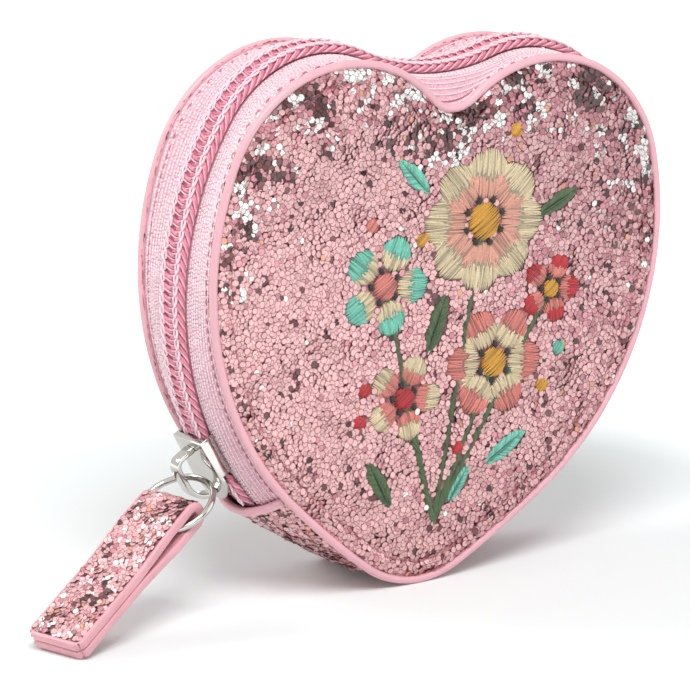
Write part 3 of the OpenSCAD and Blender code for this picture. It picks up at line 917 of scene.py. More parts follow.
def chain_frame(s):
    """Frame on the chain at a length s from its left end: X along, Y to the back, Z outwards"""
    point, a = mirrored(*around(chain_arcs(), s/chain_length(), 0.0))
    out, back = Vector((math.cos(a), 0, math.sin(a))), Vector((0, 1, 0))
    return framed(back.cross(out), back, out, Vector((point.x, 0, point.y)))


def slider_place():
    """Length along the chain at the slider's middle"""
    return zip_sizes().slider_stop + zip_sizes().slider_l/2


# Share of a coil's width that the slider squeezes out
SQUEEZE = 0.2


def parting(s):
    """Matrix that parts a coil from the middle below the slider's post, and squeezes it a little"""
    z = zip_sizes()
    t = eased((slider_place() - s - z.post_x + z.post_w)/(z.post_w*1.5))
    off = (z.post_w/2 + 0.3*MM + z.head_reach*(1 - SQUEEZE))*t
    return Matrix.Translation((0, off, 0)) @ Matrix.Diagonal((1, 1 - SQUEEZE*t, 1, 1))


# Share of the chain's length that its cords leave free at each end
CHAIN_INSET = 0.002


def coil_place(s, side):
    """Matrix that puts a shape drawn on the near half of the chain at a length s on either half"""
    return chain_frame(s) @ Matrix.Diagonal((1, side, 1, 1)) @ parting(s)


def rounded(angle, power=0.7):
    """Cosine and sine drawn out towards a rounded rectangle"""
    c, s = math.cos(angle), math.sin(angle)
    return math.copysign(abs(c)**power, c), math.copysign(abs(s)**power, s)


def coil_turn(r, shift=0.0):
    """One turn of the coil, moved on by a shift: back below to the heel, up its slanting wall, and
    over to the head"""
    z = zip_sizes()
    head, heel = r - z.head_reach, z.chain_w/2 - r
    low, high = 0.06*MM + r, z.coil_h - 0.12*MM - r
    middle = Vector(((heel + head)/2, (high + low)/2))
    reach = Vector(((heel - head)/2, (high - low)/2))

    def centre(share):
        c, s = rounded(math.pi*(1 + 2*share))
        wall = held((share - 0.34)/0.32)
        leg = held(1 - abs(share - 0.5)/0.5)
        x = wall - 0.5 + z.lean*(wall*2 - 1)*held((leg - 0.4)*5)
        return Vector((z.coil_pitch*x + shift, middle.x + reach.x*c, middle.y + reach.y*s))

    def at(u, v):
        share = u*1.02
        along_it = (centre(share + 0.01) - centre(share - 0.01)).normalized()
        level = Vector((0, 0, 1)) if abs(along_it.z) < 0.8 else Vector((1, 0, 0))
        across = along_it.cross(level).normalized()
        c, s = circle(v, r)
        return centre(share) + across*c + across.cross(along_it)*s
    return capped(bent_grid((26, 7), at))


def coil_cord(side, centre, half_w, half_h):
    """A cord along a coil, round a middle that moves with the length along the chain"""
    def at(u, v):
        s = chain_length()*(CHAIN_INSET + (1 - 2*CHAIN_INSET)*u)
        c, up = math.cos(2*math.pi*v), math.sin(2*math.pi*v)
        return coil_place(s, side) @ (centre(s) + Vector((0, half_w*c, half_h*up)))
    return at


def chain_stitch(side, strand):
    """A strand of the chain stitch over a coil. Two strands cross at each turn round small eyes."""
    z = zip_sizes()

    def centre(s):
        wave = math.sin(math.pi*s/z.coil_pitch)
        y = z.stitch_y + strand*z.stitch_w/2*math.copysign(abs(wave)**0.4, wave)
        rise = 0.12*MM*strand*math.cos(math.pi*s/z.coil_pitch)
        return Vector((0, y, z.coil_h - 0.05*MM + rise))
    return coil_cord(side, centre, z.stitch_d/2, z.stitch_d/2)


def make_tape(side, body):
    tape = sheet(body + "_tape", (420, 22), tape_shape(side))
    thicken(tape, zip_sizes().tape_t*0.9)
    settled(tape, body, "woven tape", "zipper_tape_" + body)
    make_knit(side, body)


def make_knit(side, body):
    """Rows of small raised stitches that cover the tape between the coil and the piping"""
    z = zip_sizes()
    chance = random.Random(11)
    count = int(chain_length()/z.knit)
    inner, level = z.chain_w/2 - 0.3*MM, -0.03*MM
    columns = int((gusset_half() - 0.2*MM - inner)/z.knit)
    places = []
    for column in range(columns):
        y = side*(inner + (column + 0.5)*z.knit)
        for k in range(-1, count + 2):
            u = (k + 0.5*(column % 2) + chance.uniform(-0.2, 0.2))/(count + 1)
            here, ahead = wall_at(u, y, level), wall_at(u + 0.0015, y, level)
            place = frame_on(here, ahead, here - wall_at(u, y, 1*MM))
            size = Matrix.Diagonal((chance.uniform(0.85, 1.2), chance.uniform(0.85, 1.15), 1, 1))
            places.append(place @ size)
    bm = bmesh.new()
    bmesh.ops.create_icosphere(bm, subdivisions=1, radius=1)
    bmesh.ops.scale(bm, verts=bm.verts, vec=(z.knit*0.62, z.knit*0.40, 0.17*MM))
    settled(stamped(body + "_tape_knit", bm, places), body, "knitted yarn")


# Half the width and height of a coil's core cord
CORE = (0.95*MM, 0.4*MM)


def make_coil(side, body):
    """A half of the chain: its turns, a thin strand beside them made lighter as a painted highlight of
    their lit edges, its core and its chain stitch
    """
    z = zip_sizes()
    count = int(chain_length()/z.coil_pitch)
    lengths = [(k + 0.5 + (0.5 if side > 0 else 0))*z.coil_pitch for k in range(count - 1)]
    places = [coil_place(s, side) for s in lengths]
    thick, thin = z.coil_wire*0.44, z.coil_wire*0.20
    for name, r, shift, slot, nodes in (
        ("_coil", thick, 0, "nylon coil", ["zipper_coil_" + body]),
        ("_coil_strand", thin, -thick - thin, "nylon strand", []),
    ):
        settled(stamped(body + name, coil_turn(r, shift), places), body, slot, *nodes)

    def middle(s):
        return Vector((0, z.chain_w/4, z.coil_h/2))
    core = coil_cord(side, middle, *CORE)
    settled(sheet(body + "_coil_core", (260, 8), core), body, "nylon coil")
    for strand, name in ((1, "near"), (-1, "far")):
        stitch = sheet(body + "_chain_stitch_" + name, (count*8, 6), chain_stitch(side, strand))
        settled(stitch, body, "sewing thread")


def stitch_stamp(length, r):
    """One straight stitch, its ends dipping into the cloth"""
    def at(u, v):
        dip = -1.6*r*abs(2*u - 1)**3
        across, up = circle(v, r*(1 - 0.5*abs(2*u - 1)**4))
        return Vector((length*(u - 0.5), across, dip + up))
    return capped(bent_grid((6, 6), at))


def frame_on(point, ahead, normal):
    """Frame at a point with X towards another point and Z near a normal"""
    x = (ahead - point).normalized()
    y = normal.cross(x).normalized()
    return framed(x, y, x.cross(y), point)


# Row of stitches beside the piping: its step, the radius of its thread and its level in the tape
SEAM_STEP, SEAM_R, SEAM_LEVEL = 2.0*MM, 0.17*MM, -0.16*MM


def make_tape_seam(side, body):
    """Row of stitches that holds the tape beside the piping, its dark thread a painted shade of that
    seam
    """
    count = int(chain_length()/SEAM_STEP)
    y = side*(gusset_half() - zip_sizes().seam_y)
    places = []
    for k in range(1, count):
        here, ahead = (wall_at((k + t)/count, y, SEAM_LEVEL) for t in (0, 0.2))
        places.append(frame_on(here, ahead, here - wall_at(k/count, y, 1*MM)))
    seam = stamped(body + "_tape_seam", stitch_stamp(SEAM_STEP*0.72, SEAM_R), places)
    settled(seam, body, "seam thread")


class PURSE_OT_zip(bpy.types.Operator):
    """Models the two woven tapes, the coils with their cords and the rows of stitches"""

    bl_idname = "purse.zip"
    bl_label = "Make Zip"

    def execute(self, context):
        for side, body in SIDES:
            make_tape(side, body)
            make_coil(side, body)
            make_tape_seam(side, body)
        return {"FINISHED"}


# Embroidery

class EmbroiderySizes(bpy.types.PropertyGroup):
    """Flowers, leaves and stems in satin stitch"""

    petal_r: span("Petal", 6, "Radius of a large flower's petal")
    leaf_l: span("Leaf", 19, "Length of a leaf")
    stem_w: span("Stem", 1.8, "Width of the embroidered stems")
    thread_d: span("Thread", 0.34, "Thickness of the embroidery thread")
    cream: colour("Cream", (0.80, 0.66, 0.43), "Cream thread")
    peach: colour("Peach", (0.80, 0.40, 0.30), "Peach thread")
    mint: colour("Mint", (0.20, 0.62, 0.48), "Mint thread")
    coral: colour("Coral", (0.76, 0.24, 0.20), "Coral thread")
    red: colour("Red", (0.58, 0.02, 0.03), "Red thread")
    leaf: colour("Leaf", (0.07, 0.13, 0.045), "Leaf green thread")
    gold: colour("Gold", (0.72, 0.36, 0.03), "Gold thread")
    black: colour("Black", (0.02, 0.015, 0.015), "Black thread")


def needlework():
    return bpy.context.scene.embroidery_sizes


# Flowers: place as shares of the heart's half width and height, size, petals and three threads
FLOWER_SHARES = [
    (0.17, 0.69, 1, 8, "cream", "peach", "gold"),
    (-0.25, 0.575, 0.72, 5, "mint", "cream", "coral"),
    (0.27, 0.42, 0.8, 6, "coral", "cream", "gold"),
    (-0.12, 0.36, 0.62, 5, "cream", "coral", "red"),
    (0.5, 0.555, 0.5, 5, "red", "coral", "gold"),
]
# Leaves: place, turn in degrees, size and thread
LEAF_SHARES = [
    (0, 0.5, 75, 0.9, "leaf"), (0.36, 0.255, 35, 0.8, "mint"), (-0.2, 0.2, 125, 0.8, "leaf"),
    (0.5, 0.72, 30, 0.75, "leaf"), (-0.16, 0.78, 140, 0.75, "mint"), (0.16, 0.19, 60, 0.6, "mint"),
]
STEM_FOOT_SHARE = (0.06, 0.12)
# Berries: small round dots of satin stitch beside the stems
BERRY_SHARES = [
    (-0.3, 0.38, "red"), (-0.31, 0.32, "red"), (0.5, 0.37, "gold"), (-0.1, 0.66, "gold"),
    (0.14, 0.26, "red"), (-0.33, 0.69, "coral"), (0.28, 0.86, "gold"), (0.56, 0.44, "mint"),
]
# Height of the stitches' ground over the panel's face
FACE_LIFT = 0.30*MM
# Radii of a berry and of the dark knots between petals
BERRY_R, KNOT_R = 1.5*MM, 0.6*MM


class Needle:
    """Collects the pads and stitches of the embroidery as places and tints"""

    def __init__(self, seed):
        self.stitches, self.tints, self.pads, self.pad_tints = [], [], [], []
        self.chance = random.Random(seed)

    def frame_at(self, point, angle, lift, size):
        """Matrix on the front at a point, X along an angle and Z outwards"""
        x, z = Vector((math.cos(angle), 0, math.sin(angle))), Vector((0, -1, 0))
        at = Vector((point.x, -(face_y() + FACE_LIFT + lift), point.y))
        return framed(x, z.cross(x), z, at) @ Matrix.Diagonal((*size, 1))

    def stitch(self, a, b, tint, lift):
        """A stitch from a to b, its angle, ends and tint a little uneven"""
        d = b - a
        angle = math.atan2(d.y, d.x) + self.chance.gauss(0, 0.045)
        length = d.length/MM + self.chance.uniform(-0.1, 0.4)
        width = self.chance.uniform(0.8, 1.1)
        self.stitches.append(self.frame_at((a + b)/2, angle, lift, (length, width, width)))
        self.tints.append(shade(tint, self.chance.choice((0.62, 0.86, 0.96, 1.04, 1.12))))

    def pad(self, point, rx, ry, angle, tint, height):
        self.pads.append(self.frame_at(point, angle, -0.1*MM, (rx, ry, height)))
        # The pad is darker than its thread, painted shade in the gaps between the stitches
        self.pad_tints.append(shade(tint, 0.42))

    def disc(self, centre, r, angle, tint, inner=None, dome=0.5*MM, base=0.0):
        """A round of satin stitch with its threads along an angle, its near part in another tint"""
        step = needlework().thread_d*0.95
        along_it, across = ray(1, angle), ray(1, angle + math.pi/2)
        count = int(2*r/step)
        self.pad(centre, r*0.97, r*0.97, angle, tint, dome + base)
        for k in range(count + 1):
            w = -r + (k + 0.5)*2*r/(count + 1)
            reach = math.sqrt(r*r - w*w)
            lift = base + dome*math.sqrt(1 - (w/r)**2)*0.75
            a, b = centre + across*w - along_it*reach, centre + across*w + along_it*reach
            if inner is None:
                self.stitch(a, b, tint, lift)
                continue
            cut = a.lerp(b, self.chance.uniform(0.28, 0.5))
            self.stitch(a, cut + along_it*0.5*MM, inner, lift + 0.03*MM)
            self.stitch(cut, b, tint, lift)

    def flower(self, centre, r, petals, tint, inner, heart_tint):
        for k in range(petals):
            angle = 2*math.pi*k/petals
            self.disc(centre + ray(r*1.5, angle), r*0.8, angle, tint, inner)
        self.disc(centre, r*0.6, math.radians(40), heart_tint, dome=0.4*MM, base=0.25*MM)
        for k in range(petals):
            knot = centre + ray(r*0.72, 2*math.pi*(k + 0.5)/petals)
            self.disc(knot, KNOT_R, 0.5, needlework().black, dome=0.4*MM, base=0.2*MM)

    def leaf(self, centre, length, angle, tint):
        along_it, across = ray(1, angle), ray(1, angle + math.pi/2)
        step = needlework().thread_d*0.9
        self.pad(centre, length*0.35, length*0.11, angle, tint, 0.35*MM)

        def edge(x):
            return math.sqrt(max(0, (length*0.625)**2 - x*x)) - length/2
        x = -0.37*length
        while x < 0.35*length:
            for side in (1, -1):
                reach = 0.0
                for _ in range(12):
                    reach = max(0, edge(x + reach*0.7))/0.7
                if reach > 0.3*MM:
                    a = centre + along_it*x
                    b = a + (along_it*0.7 + across*side*0.7)*reach
                    self.stitch(a, b, tint, 0.22*MM)
            x += step
        vein = shade(tint, 0.6)
        self.stitch(centre - along_it*length*0.36, centre + along_it*length*0.2, vein, 0.42*MM)

    def stem(self, a, b, tint):
        d = b - a
        angle = math.atan2(d.y, d.x)
        count = int(d.length/(needlework().thread_d*1.3))
        half = needlework().stem_w*0.42
        for k in range(count):
            point = a.lerp(b, (k + 0.5)/count)
            slant = ray(half, angle + 0.55)
            self.stitch(point - slant*1.5, point + slant*1.5, tint, 0.22*MM)


def spot(shares):
    side = outline_arcs()[2]
    return Vector((shares[0]*(side.centre.x + side.r), shares[1]*heart_height()))


def worked_needle():
    """The whole embroidery as stitches and pads"""
    n = needlework()
    needle = Needle(seed=3)
    foot = spot(STEM_FOOT_SHARE)
    for flower in FLOWER_SHARES:
        needle.stem(foot, spot(flower), n.leaf)
    for leaf in LEAF_SHARES:
        needle.leaf(spot(leaf), n.leaf_l*leaf[3], math.radians(leaf[2]), getattr(n, leaf[4]))
    for berry in BERRY_SHARES:
        needle.disc(spot(berry), BERRY_R, 0.9, getattr(n, berry[2]))
    for x, z, size, petals, outer, inner, middle in FLOWER_SHARES:
        needle.flower(
            spot((x, z)), n.petal_r*size, petals,
            getattr(n, outer), getattr(n, inner), getattr(n, middle),
        )
    return needle


CELL = 0.5*MM


def stitch_cell(x, z):
    return round(x/CELL), round(z/CELL)


def stitched_cells():
    """Cells of the front that stitches cover, kept free of flakes"""
    cells = set()
    for place in worked_needle().stitches:
        reach = place.to_3x3() @ Vector((0.5*MM, 0, 0))
        steps = 1 + int(2*reach.length/CELL)
        for k in range(-steps, steps + 1):
            point = place.translation + reach*(k/steps)
            cells.add(stitch_cell(point.x, point.z))
    return cells


def pad_stamp():
    bm = bmesh.new()
    bmesh.ops.create_uvsphere(bm, u_segments=14, v_segments=7, radius=1)
    return bm


class PURSE_OT_embroidery(bpy.types.Operator):
    """Stitches the flowers, leaves, stems and berries on the front, and the topstitch"""

    bl_idname = "purse.embroidery"
    bl_label = "Make Embroidery"

    def execute(self, context):
        needle = worked_needle()
        thread = stitch_stamp(1*MM, needlework().thread_d/2)
        threads = stamped("satin_stitches", thread, needle.stitches, needle.tints)
        settled(threads, "front", "embroidery thread", "embroidery")
        pads = stamped("satin_pads", pad_stamp(), needle.pads, needle.pad_tints)
        settled(pads, "front", "embroidery thread")
        for side, body in SIDES:
            make_topstitch(side, body)
        return {"FINISHED"}


# Topstitch: step from stitch to stitch, radius of the thread and its height in the channel
TOP_STEP, TOP_R, TOP_LIFT = 2.9*MM, 0.24*MM, 0.30*MM


def make_topstitch(side, body):
    """Row of stitches that pulls the channel into the panel"""
    arcs = outline_arcs()
    level = side*(face_y() + GROOVE*MM + TOP_LIFT)
    count = int(2*sum(arc.length for arc in arcs)/TOP_STEP)
    places = []
    for k in range(count):
        ends = (around(arcs, (k + t)/count, -heart().stitch_inset)[0] for t in (0, 0.2))
        here, ahead = (Vector((end.x, level, end.y)) for end in ends)
        places.append(frame_on(here, ahead, Vector((0, side, 0))))
    row = stamped(body + "_topstitch", stitch_stamp(TOP_STEP*0.8, TOP_R), places)
    settled(row, body, "topstitch thread")


# Gusset and bindings

def low_seam_length():
    """Length of the outline from the tip to the zip's end"""
    tip, flank, side = outline_arcs()[:3]
    return tip.length + flank.length + side.r*(abs(side.a0) - zip_sizes().end_a)


def gusset_bulge():
    """Rise of the gusset's middle at the zip's end"""
    z = zip_sizes()
    side = chain_arcs()[0]
    mouth = side.at(0, z.coil_h + bpy.context.scene.gusset_sizes.rise)[0]
    return (mouth - along(outline_arcs(), low_seam_length(), -heart().piping_d/2)[0]).length


def bow_at(s, side, across, depth):
    """Point of the gusset at a length s from the tip, across from -1 to 1, at a depth"""
    bulge = gusset_bulge()*max(0, s/low_seam_length())**1.5
    point, a = along(outline_arcs(), s, -heart().piping_d/2 - depth)
    point = point + ray(bulge*(1 - abs(across)**2.3), a)
    return Vector((side*point.x, across*gusset_half(), point.y))


# Distance of a binding from the zip's end, and its height over the gusset
BINDING_GAP, BINDING_RISE = 0.3*MM, 0.85*MM
# Depth of the gusset's lining below its glitter cloth, and its thickness
INSIDE_DEPTH, INSIDE_T = 1.5*MM, 0.4*MM


def gusset_shape(depth):
    end = low_seam_length() - BINDING_GAP - bpy.context.scene.gusset_sizes.binding_w*0.7

    def at(u, v):
        s = end*abs(2*u - 1)
        side = 1 if u >= 0.5 else -1
        across = 2*v - 1
        ripple = 0.10*MM*noise.noise(Vector((u*30, v*4, depth*900)))
        return bow_at(s, side, across, depth + ripple*(1 - across**2))
    return at


def follow_gusset(piece):
    """Bakes a piece's placement into its mesh"""
    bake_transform(piece)


def gusset_tint(point, chance):
    # More flakes are dark towards the bottom; dark flakes are painted dark reflections, white flakes
    # painted glints
    low = held(1 - point[2]/(20*MM))
    dark = 0.04 + 0.18*low*patch(point, 4*MM, 3)
    return flake_tint(chance, dark=dark, white=0.02, gold=0.03, deep=0.15)


def binding_shape(side):
    """A folded strip across the zip's end, rounded like a cord"""
    width = bpy.context.scene.gusset_sizes.binding_w
    s = low_seam_length() - BINDING_GAP - width/2

    def at(u, v):
        across = 2*u - 1
        here = bow_at(s, side, across, 0)
        along_it = (bow_at(s + 1*MM, side, across, 0) - here).normalized()
        out = (here - bow_at(s, side, across, 1*MM)).normalized()
        c, up = circle(v, min(1, (1 - abs(across))*12)**0.5)
        return here + along_it*(width/2*c) + out*(BINDING_RISE*up)
    return at


class PURSE_OT_gusset(bpy.types.Operator):
    """Models the glitter gusset, its lining and the bindings at the zip's ends"""

    bl_idname = "purse.gusset"
    bl_label = "Make Gusset"

    def execute(self, context):
        cloth = sheet("gusset_cloth", (240, 24), gusset_shape(0))
        cover = flakes("gusset_glitter", cloth, gusset_tint, ruffle=2)
        inside = sheet("gusset_inside", (240, 16), gusset_shape(INSIDE_DEPTH))
        thicken(cloth, CLOTH_T)
        thicken(inside, INSIDE_T)
        settled(cloth, None, "glitter ground", "gusset")
        settled(cover, None, "glitter flake")
        settled(inside, None, "lining cloth", "gusset_lining")
        for piece in (cloth, cover, inside):
            follow_gusset(piece)
        for side, end in ((-1, "left"), (1, "right")):
            strip = sheet("binding_" + end, (40, 16), binding_shape(side))
            settled(strip, None, "smooth piping", "zip_binding_" + end)
            follow_gusset(strip)
        return {"FINISHED"}


# Linings inside the panels

# Distance of a panel's lining from the piping, its depth below the panel's face, its thickness
LINING_INSET, LINING_DEPTH, LINING_T = 0.8*MM, 2.6*MM, 0.35*MM


def lining_shape(side):
    """Lining of a panel, a little wrinkled"""
    arcs = outline_arcs()
    edge = heart().piping_d + LINING_INSET
    level = face_y() - LINING_DEPTH
    middle = Vector((0, heart_height()*MIDDLE_SHARE))

    def at(u, v):
        point, _ = around(arcs, u, -edge)
        point = point.lerp(middle, v)
        wrinkle = 0.16*MM*noise.noise(Vector((point.x*70, side, point.y*45)))
        return Vector((point.x, side*(level + wrinkle), point.y))
    return at


class PURSE_OT_linings(bpy.types.Operator):
    """Models the two linings and finishes the boards"""

    bl_idname = "purse.linings"
    bl_label = "Make Linings"

    def execute(self, context):
        for side, body in SIDES:
            cloth = sheet(body + "_lining_cloth", (180, 40), lining_shape(side))
            thicken(cloth, LINING_T, offset=0)
            settled(cloth, body, "lining cloth", body + "_lining")
            board = frame["nodes"][body + "_board"]
            board.data.materials.clear()
            board.data.materials.append(bpy.data.materials["grey board"])
        return {"FINISHED"}


# Slider, ring and tab

# Least angle between two faces for their edge to be rounded, and to be shaded sharp afterwards
ROUND_FROM, SHARP_FROM = math.radians(30), math.radians(32)


def bevelled(node, name, width):
    """A copy of a CAD node with its edges rounded as a casting's are"""
    bm = bmesh.new()
    bm.from_mesh(frame["nodes"][node].data)
    bmesh.ops.remove_doubles(bm, verts=bm.verts, dist=1e-6)
    bmesh.ops.dissolve_limit(bm, angle_limit=math.radians(1), verts=bm.verts, edges=bm.edges)
    sharp = [e for e in bm.edges if e.is_manifold and e.calc_face_angle() > ROUND_FROM]
    bmesh.ops.bevel(
        bm, geom=sharp, offset=width, offset_type="OFFSET", segments=3, affect="EDGES", profile=0.5,
        material=-1, clamp_overlap=True)
    bmesh.ops.triangulate(bm, faces=bm.faces)
    piece = finished(bm, name)
    piece.data.set_sharp_from_angle(angle=SHARP_FROM)
    return piece


def joint(name):
    """Place and axis of one of the frame's joints"""
    found = next(j for j in frame["joints"] if j["name"] == name)
    return Vector(found["pos_m"]), Vector(found["axis"])


def ring_frame():
    """Frame of the ring: X from the bail to its middle, Z square to it"""
    wire = joint("ring_swing")[0]
    middle, normal = joint("tab_turn")
    x = (middle - wire).normalized()
    y = normal.cross(x).normalized()
    return framed(x, y, normal, middle)


class PullSizes(bpy.types.PropertyGroup):
    """Ring and folded tab"""

    ring_d: span("Ring", 15.8, "Outer diameter of the ring")
    wire_d: span("Wire", 1.3, "Thickness of the ring's wire")
    slide: degrees("Tab slide", -8.4, "Angle by which the tab has slid round the ring")
    tab_l: span("Tab length", 38.5, "Length of the folded tab from the ring's middle")
    tab_w: span("Tab width", 12.8, "Width of the tab at its free end")
    fold_w: span("Fold width", 12.2, "Width of the tab at its fold")
    strip_t: span("Strip", 1.1, "Thickness of the glitter strip")
    backing_t: span("Backing", 0.5, "Thickness of the backing")
    shut_l: span("Closing length", 11, "Length over which the layers come together")
    rim_w: span("Rim", 1.0, "Width of the painted rim over the glitter")
    rim_h: span("Rim rise", 0.22, "Rise of the painted rim over the glitter")
    corner_r: span("Corner", 1.8, "Radius of the corners at the tab's free end")


def pull():
    return bpy.context.scene.pull_sizes


# Play of the fold round the ring's wire, and half the gap between the tab's layers
WIRE_PLAY = 0.3*MM
LAYER_GAP = 0.05*MM


def fold_path(depth):
    """Side view of the folded tab at a depth below its outer face, as joined points"""
    p = pull()
    open_y = p.wire_d/2 + WIRE_PLAY + p.backing_t + LAYER_GAP + p.strip_t
    shut_y = p.backing_t + 2*LAYER_GAP + p.strip_t
    fold_x = open_y - (p.strip_t + p.backing_t + LAYER_GAP)/2
    open_x = p.ring_d/2 + WIRE_PLAY
    side = [
        Vector((p.tab_l, shut_y - depth)), Vector((open_x + p.shut_l, shut_y - depth)),
        Vector((open_x + p.shut_l*0.55, (shut_y*0.6 + open_y*0.4) - depth)),
        Vector((open_x, open_y - depth)), Vector((fold_x, open_y - depth)),
    ]
    arc = [
        Vector((fold_x, 0)) + ray(open_y - depth, math.pi/2 + math.pi*k/16) for k in range(1, 16)
    ]
    return side + arc + [Vector((q.x, -q.y)) for q in reversed(side)]


def on_path(path, share):
    """Point at a share of a path's length"""
    steps = [(b - a).length for a, b in zip(path, path[1:])]
    left = share*sum(steps)
    for (a, b), step in zip(zip(path, path[1:]), steps):
        if left <= step or step is steps[-1]:
            return a.lerp(b, min(1, left/step))
        left -= step
    return path[-1]


def half_width(x):
    p = pull()
    return (p.fold_w + (p.tab_w - p.fold_w)*held(x/p.tab_l))/2


def corner_cut(d):
    """How far a rounded corner draws an edge in, at a distance d into the corner"""
    r = pull().corner_r
    return r - math.sqrt(r*r - min(max(0, d), 0.75*r)**2)


def strip_shape(depth):
    """A folded layer of the tab at a depth, its edges hidden in the painted rims"""
    path = fold_path(depth)
    margin = side_rim(-1)*0.8
    share = margin/(2*pull().tab_l)

    def at(u, v):
        q = on_path(path, share + u*(1 - 2*share))
        y = (2*v - 1)*(half_width(q.x) - margin)
        ripple = 0.08*MM*noise.noise(Vector((q.x*160, y*200, q.y*200)))
        lift = math.copysign(1, q.y)*ripple if q.x > 2*MM else 0
        return Vector((q.x, y, q.y + lift))
    return at


def rim_section(v, rim_w):
    """Section of the painted rim of one layer: outwards and up from the layer's middle"""
    p = pull()
    thick = (p.strip_t + p.backing_t)/2
    c, s = rounded(2*math.pi*v, 0.55)
    return rim_w/2*c, (thick + p.rim_h/2)*s + p.rim_h/2 - 0.03*MM


def side_rim(side):
    """Width of the rim along one side of the tab"""
    return pull().rim_w*(1 if side > 0 else 0.6)


def edge_shape(side):
    """Painted rim along one side of both layers"""
    p = pull()
    path = fold_path((p.strip_t + p.backing_t)/2)
    rim_w = side_rim(side)

    def at(u, v):
        q = on_path(path, u)
        ahead = on_path(path, min(1, u + 0.004)) - on_path(path, max(0, u - 0.004))
        out = Vector((ahead.y, -ahead.x)).normalized()
        width, up = rim_section(v, rim_w)
        end = min(1, min(u, 1 - u)*80 + 0.15)
        cut = corner_cut(q.x - p.tab_l + p.corner_r)
        y = side*(half_width(q.x) + 0.08*MM - rim_w/2 - cut + width*end)
        point = q + out*(up*end)
        return Vector((point.x, y, point.y))
    return at


def end_shape(level):
    """Painted rim across the free end of one layer"""
    p = pull()
    shut_y = p.backing_t + 2*LAYER_GAP + p.strip_t
    thick = (p.strip_t + p.backing_t)/2

    def at(u, v):
        width, up = rim_section(v, p.rim_w)
        end = min(1, min(u, 1 - u)*30 + 0.1)
        y = (2*u - 1)*(half_width(p.tab_l) - p.corner_r*0.3)
        cut = corner_cut(abs(y) - half_width(p.tab_l) + p.corner_r)
        x = p.tab_l + 0.12*MM - p.rim_w/2 - cut + width*end
        return Vector((x, y, level*(shut_y - thick + up*end)))
    return at


# Distance of the tab's flakes from its painted rims
RIM_CLEAR = 0.15*MM


def inside_rim(point, normal):
    """Whether a flake's place lies clear of the tab's painted rims"""
    inside = half_width(point[0]) - side_rim(point[1]) - RIM_CLEAR
    return abs(point[1]) < inside and point[0] < pull().tab_l - pull().rim_w - RIM_CLEAR


def tab_tint(point, chance):
    # Clouds of dark flakes are painted dark reflections, and white flakes painted glints
    dark_reflection_cloud = patch(point, 4*MM, 4)
    dark = 0.02 + 0.45*held((dark_reflection_cloud - 0.64)*6)
    return flake_tint(chance, dark=dark, white=0.05, gold=0.03, deep=0.12)


class PURSE_OT_slider(bpy.types.Operator):
    """Models the slider, its bail and the ring in bright metal"""

    bl_idname = "purse.slider"
    bl_label = "Make Slider"

    def execute(self, context):
        for node, name, edge_r in (
            ("slider_body", "slider_casting", 0.22*MM), ("slider_bail", "bail_strip", 0.25*MM),
        ):
            dressed(bevelled(node, name, edge_r), "slider", "plated metal", node)
        p = pull()

        def ring(u, v):
            across, up = circle(v, p.wire_d/2)
            return Vector((*circle(u, (p.ring_d - p.wire_d)/2 + across), up))
        piece = sheet("wire_ring", (96, 20), ring)
        piece.data.transform(ring_frame())
        dressed(piece, "ring", "plated metal", "pull_ring")
        return {"FINISHED"}


class PURSE_OT_tab(bpy.types.Operator):
    """Models the folded pull tab: glitter strip, backing and painted edges"""

    bl_idname = "purse.tab"
    bl_label = "Make Pull Tab"

    def execute(self, context):
        p = pull()
        strip = sheet("tab_cloth", (160, 16), strip_shape(0))
        cover = flakes("tab_glitter", strip, tab_tint, keep=inside_rim, ruffle=2, rise=0.2)
        backing = sheet("tab_inside", (120, 10), strip_shape(p.strip_t + LAYER_GAP))
        thicken(strip, p.strip_t*0.95)
        thicken(backing, p.backing_t*0.9)
        made = [
            (strip, "glitter ground", ["tab_strip"]), (cover, "glitter flake", []),
            (backing, "tab backing", ["tab_backing"]),
        ]
        for side, name in ((1, "left"), (-1, "right")):
            bead = sheet("tab_paint_" + name, (260, 14), edge_shape(side))
            made.append((bead, "edge paint", ["tab_edge_" + name]))
        for level, name in ((1, "upper"), (-1, "lower")):
            made.append((sheet("tab_end_" + name, (60, 14), end_shape(level)), "edge paint", []))
        for piece, slot, nodes in made:
            piece.data.transform(ring_frame() @ Matrix.Rotation(p.slide, 4, "Z"))
            dressed(piece, "tab", slot, *nodes)
        return {"FINISHED"}


# Stage

def camera_frame():
    """Camera axes and place in the row's frame, from its angles round the upright heart"""
    s = bpy.context.scene.stage_sizes
    az, el, roll = s.azimuth, s.elevation, s.roll
    forward = Vector((-math.sin(az)*math.cos(el), math.cos(az)*math.cos(el), -math.sin(el)))
    right = Vector((math.cos(az), math.sin(az), 0))
    up = right.cross(forward)
    right, up = (
        right*math.cos(roll) + up*math.sin(roll),
        up*math.cos(roll) - right*math.sin(roll),
    )
    return right, up, forward


FLOOR_W = 5
# Place of the camera from the upright heart's tip
CAMERA_AT = Vector((-797.73, -1057.73, 314.04))*MM


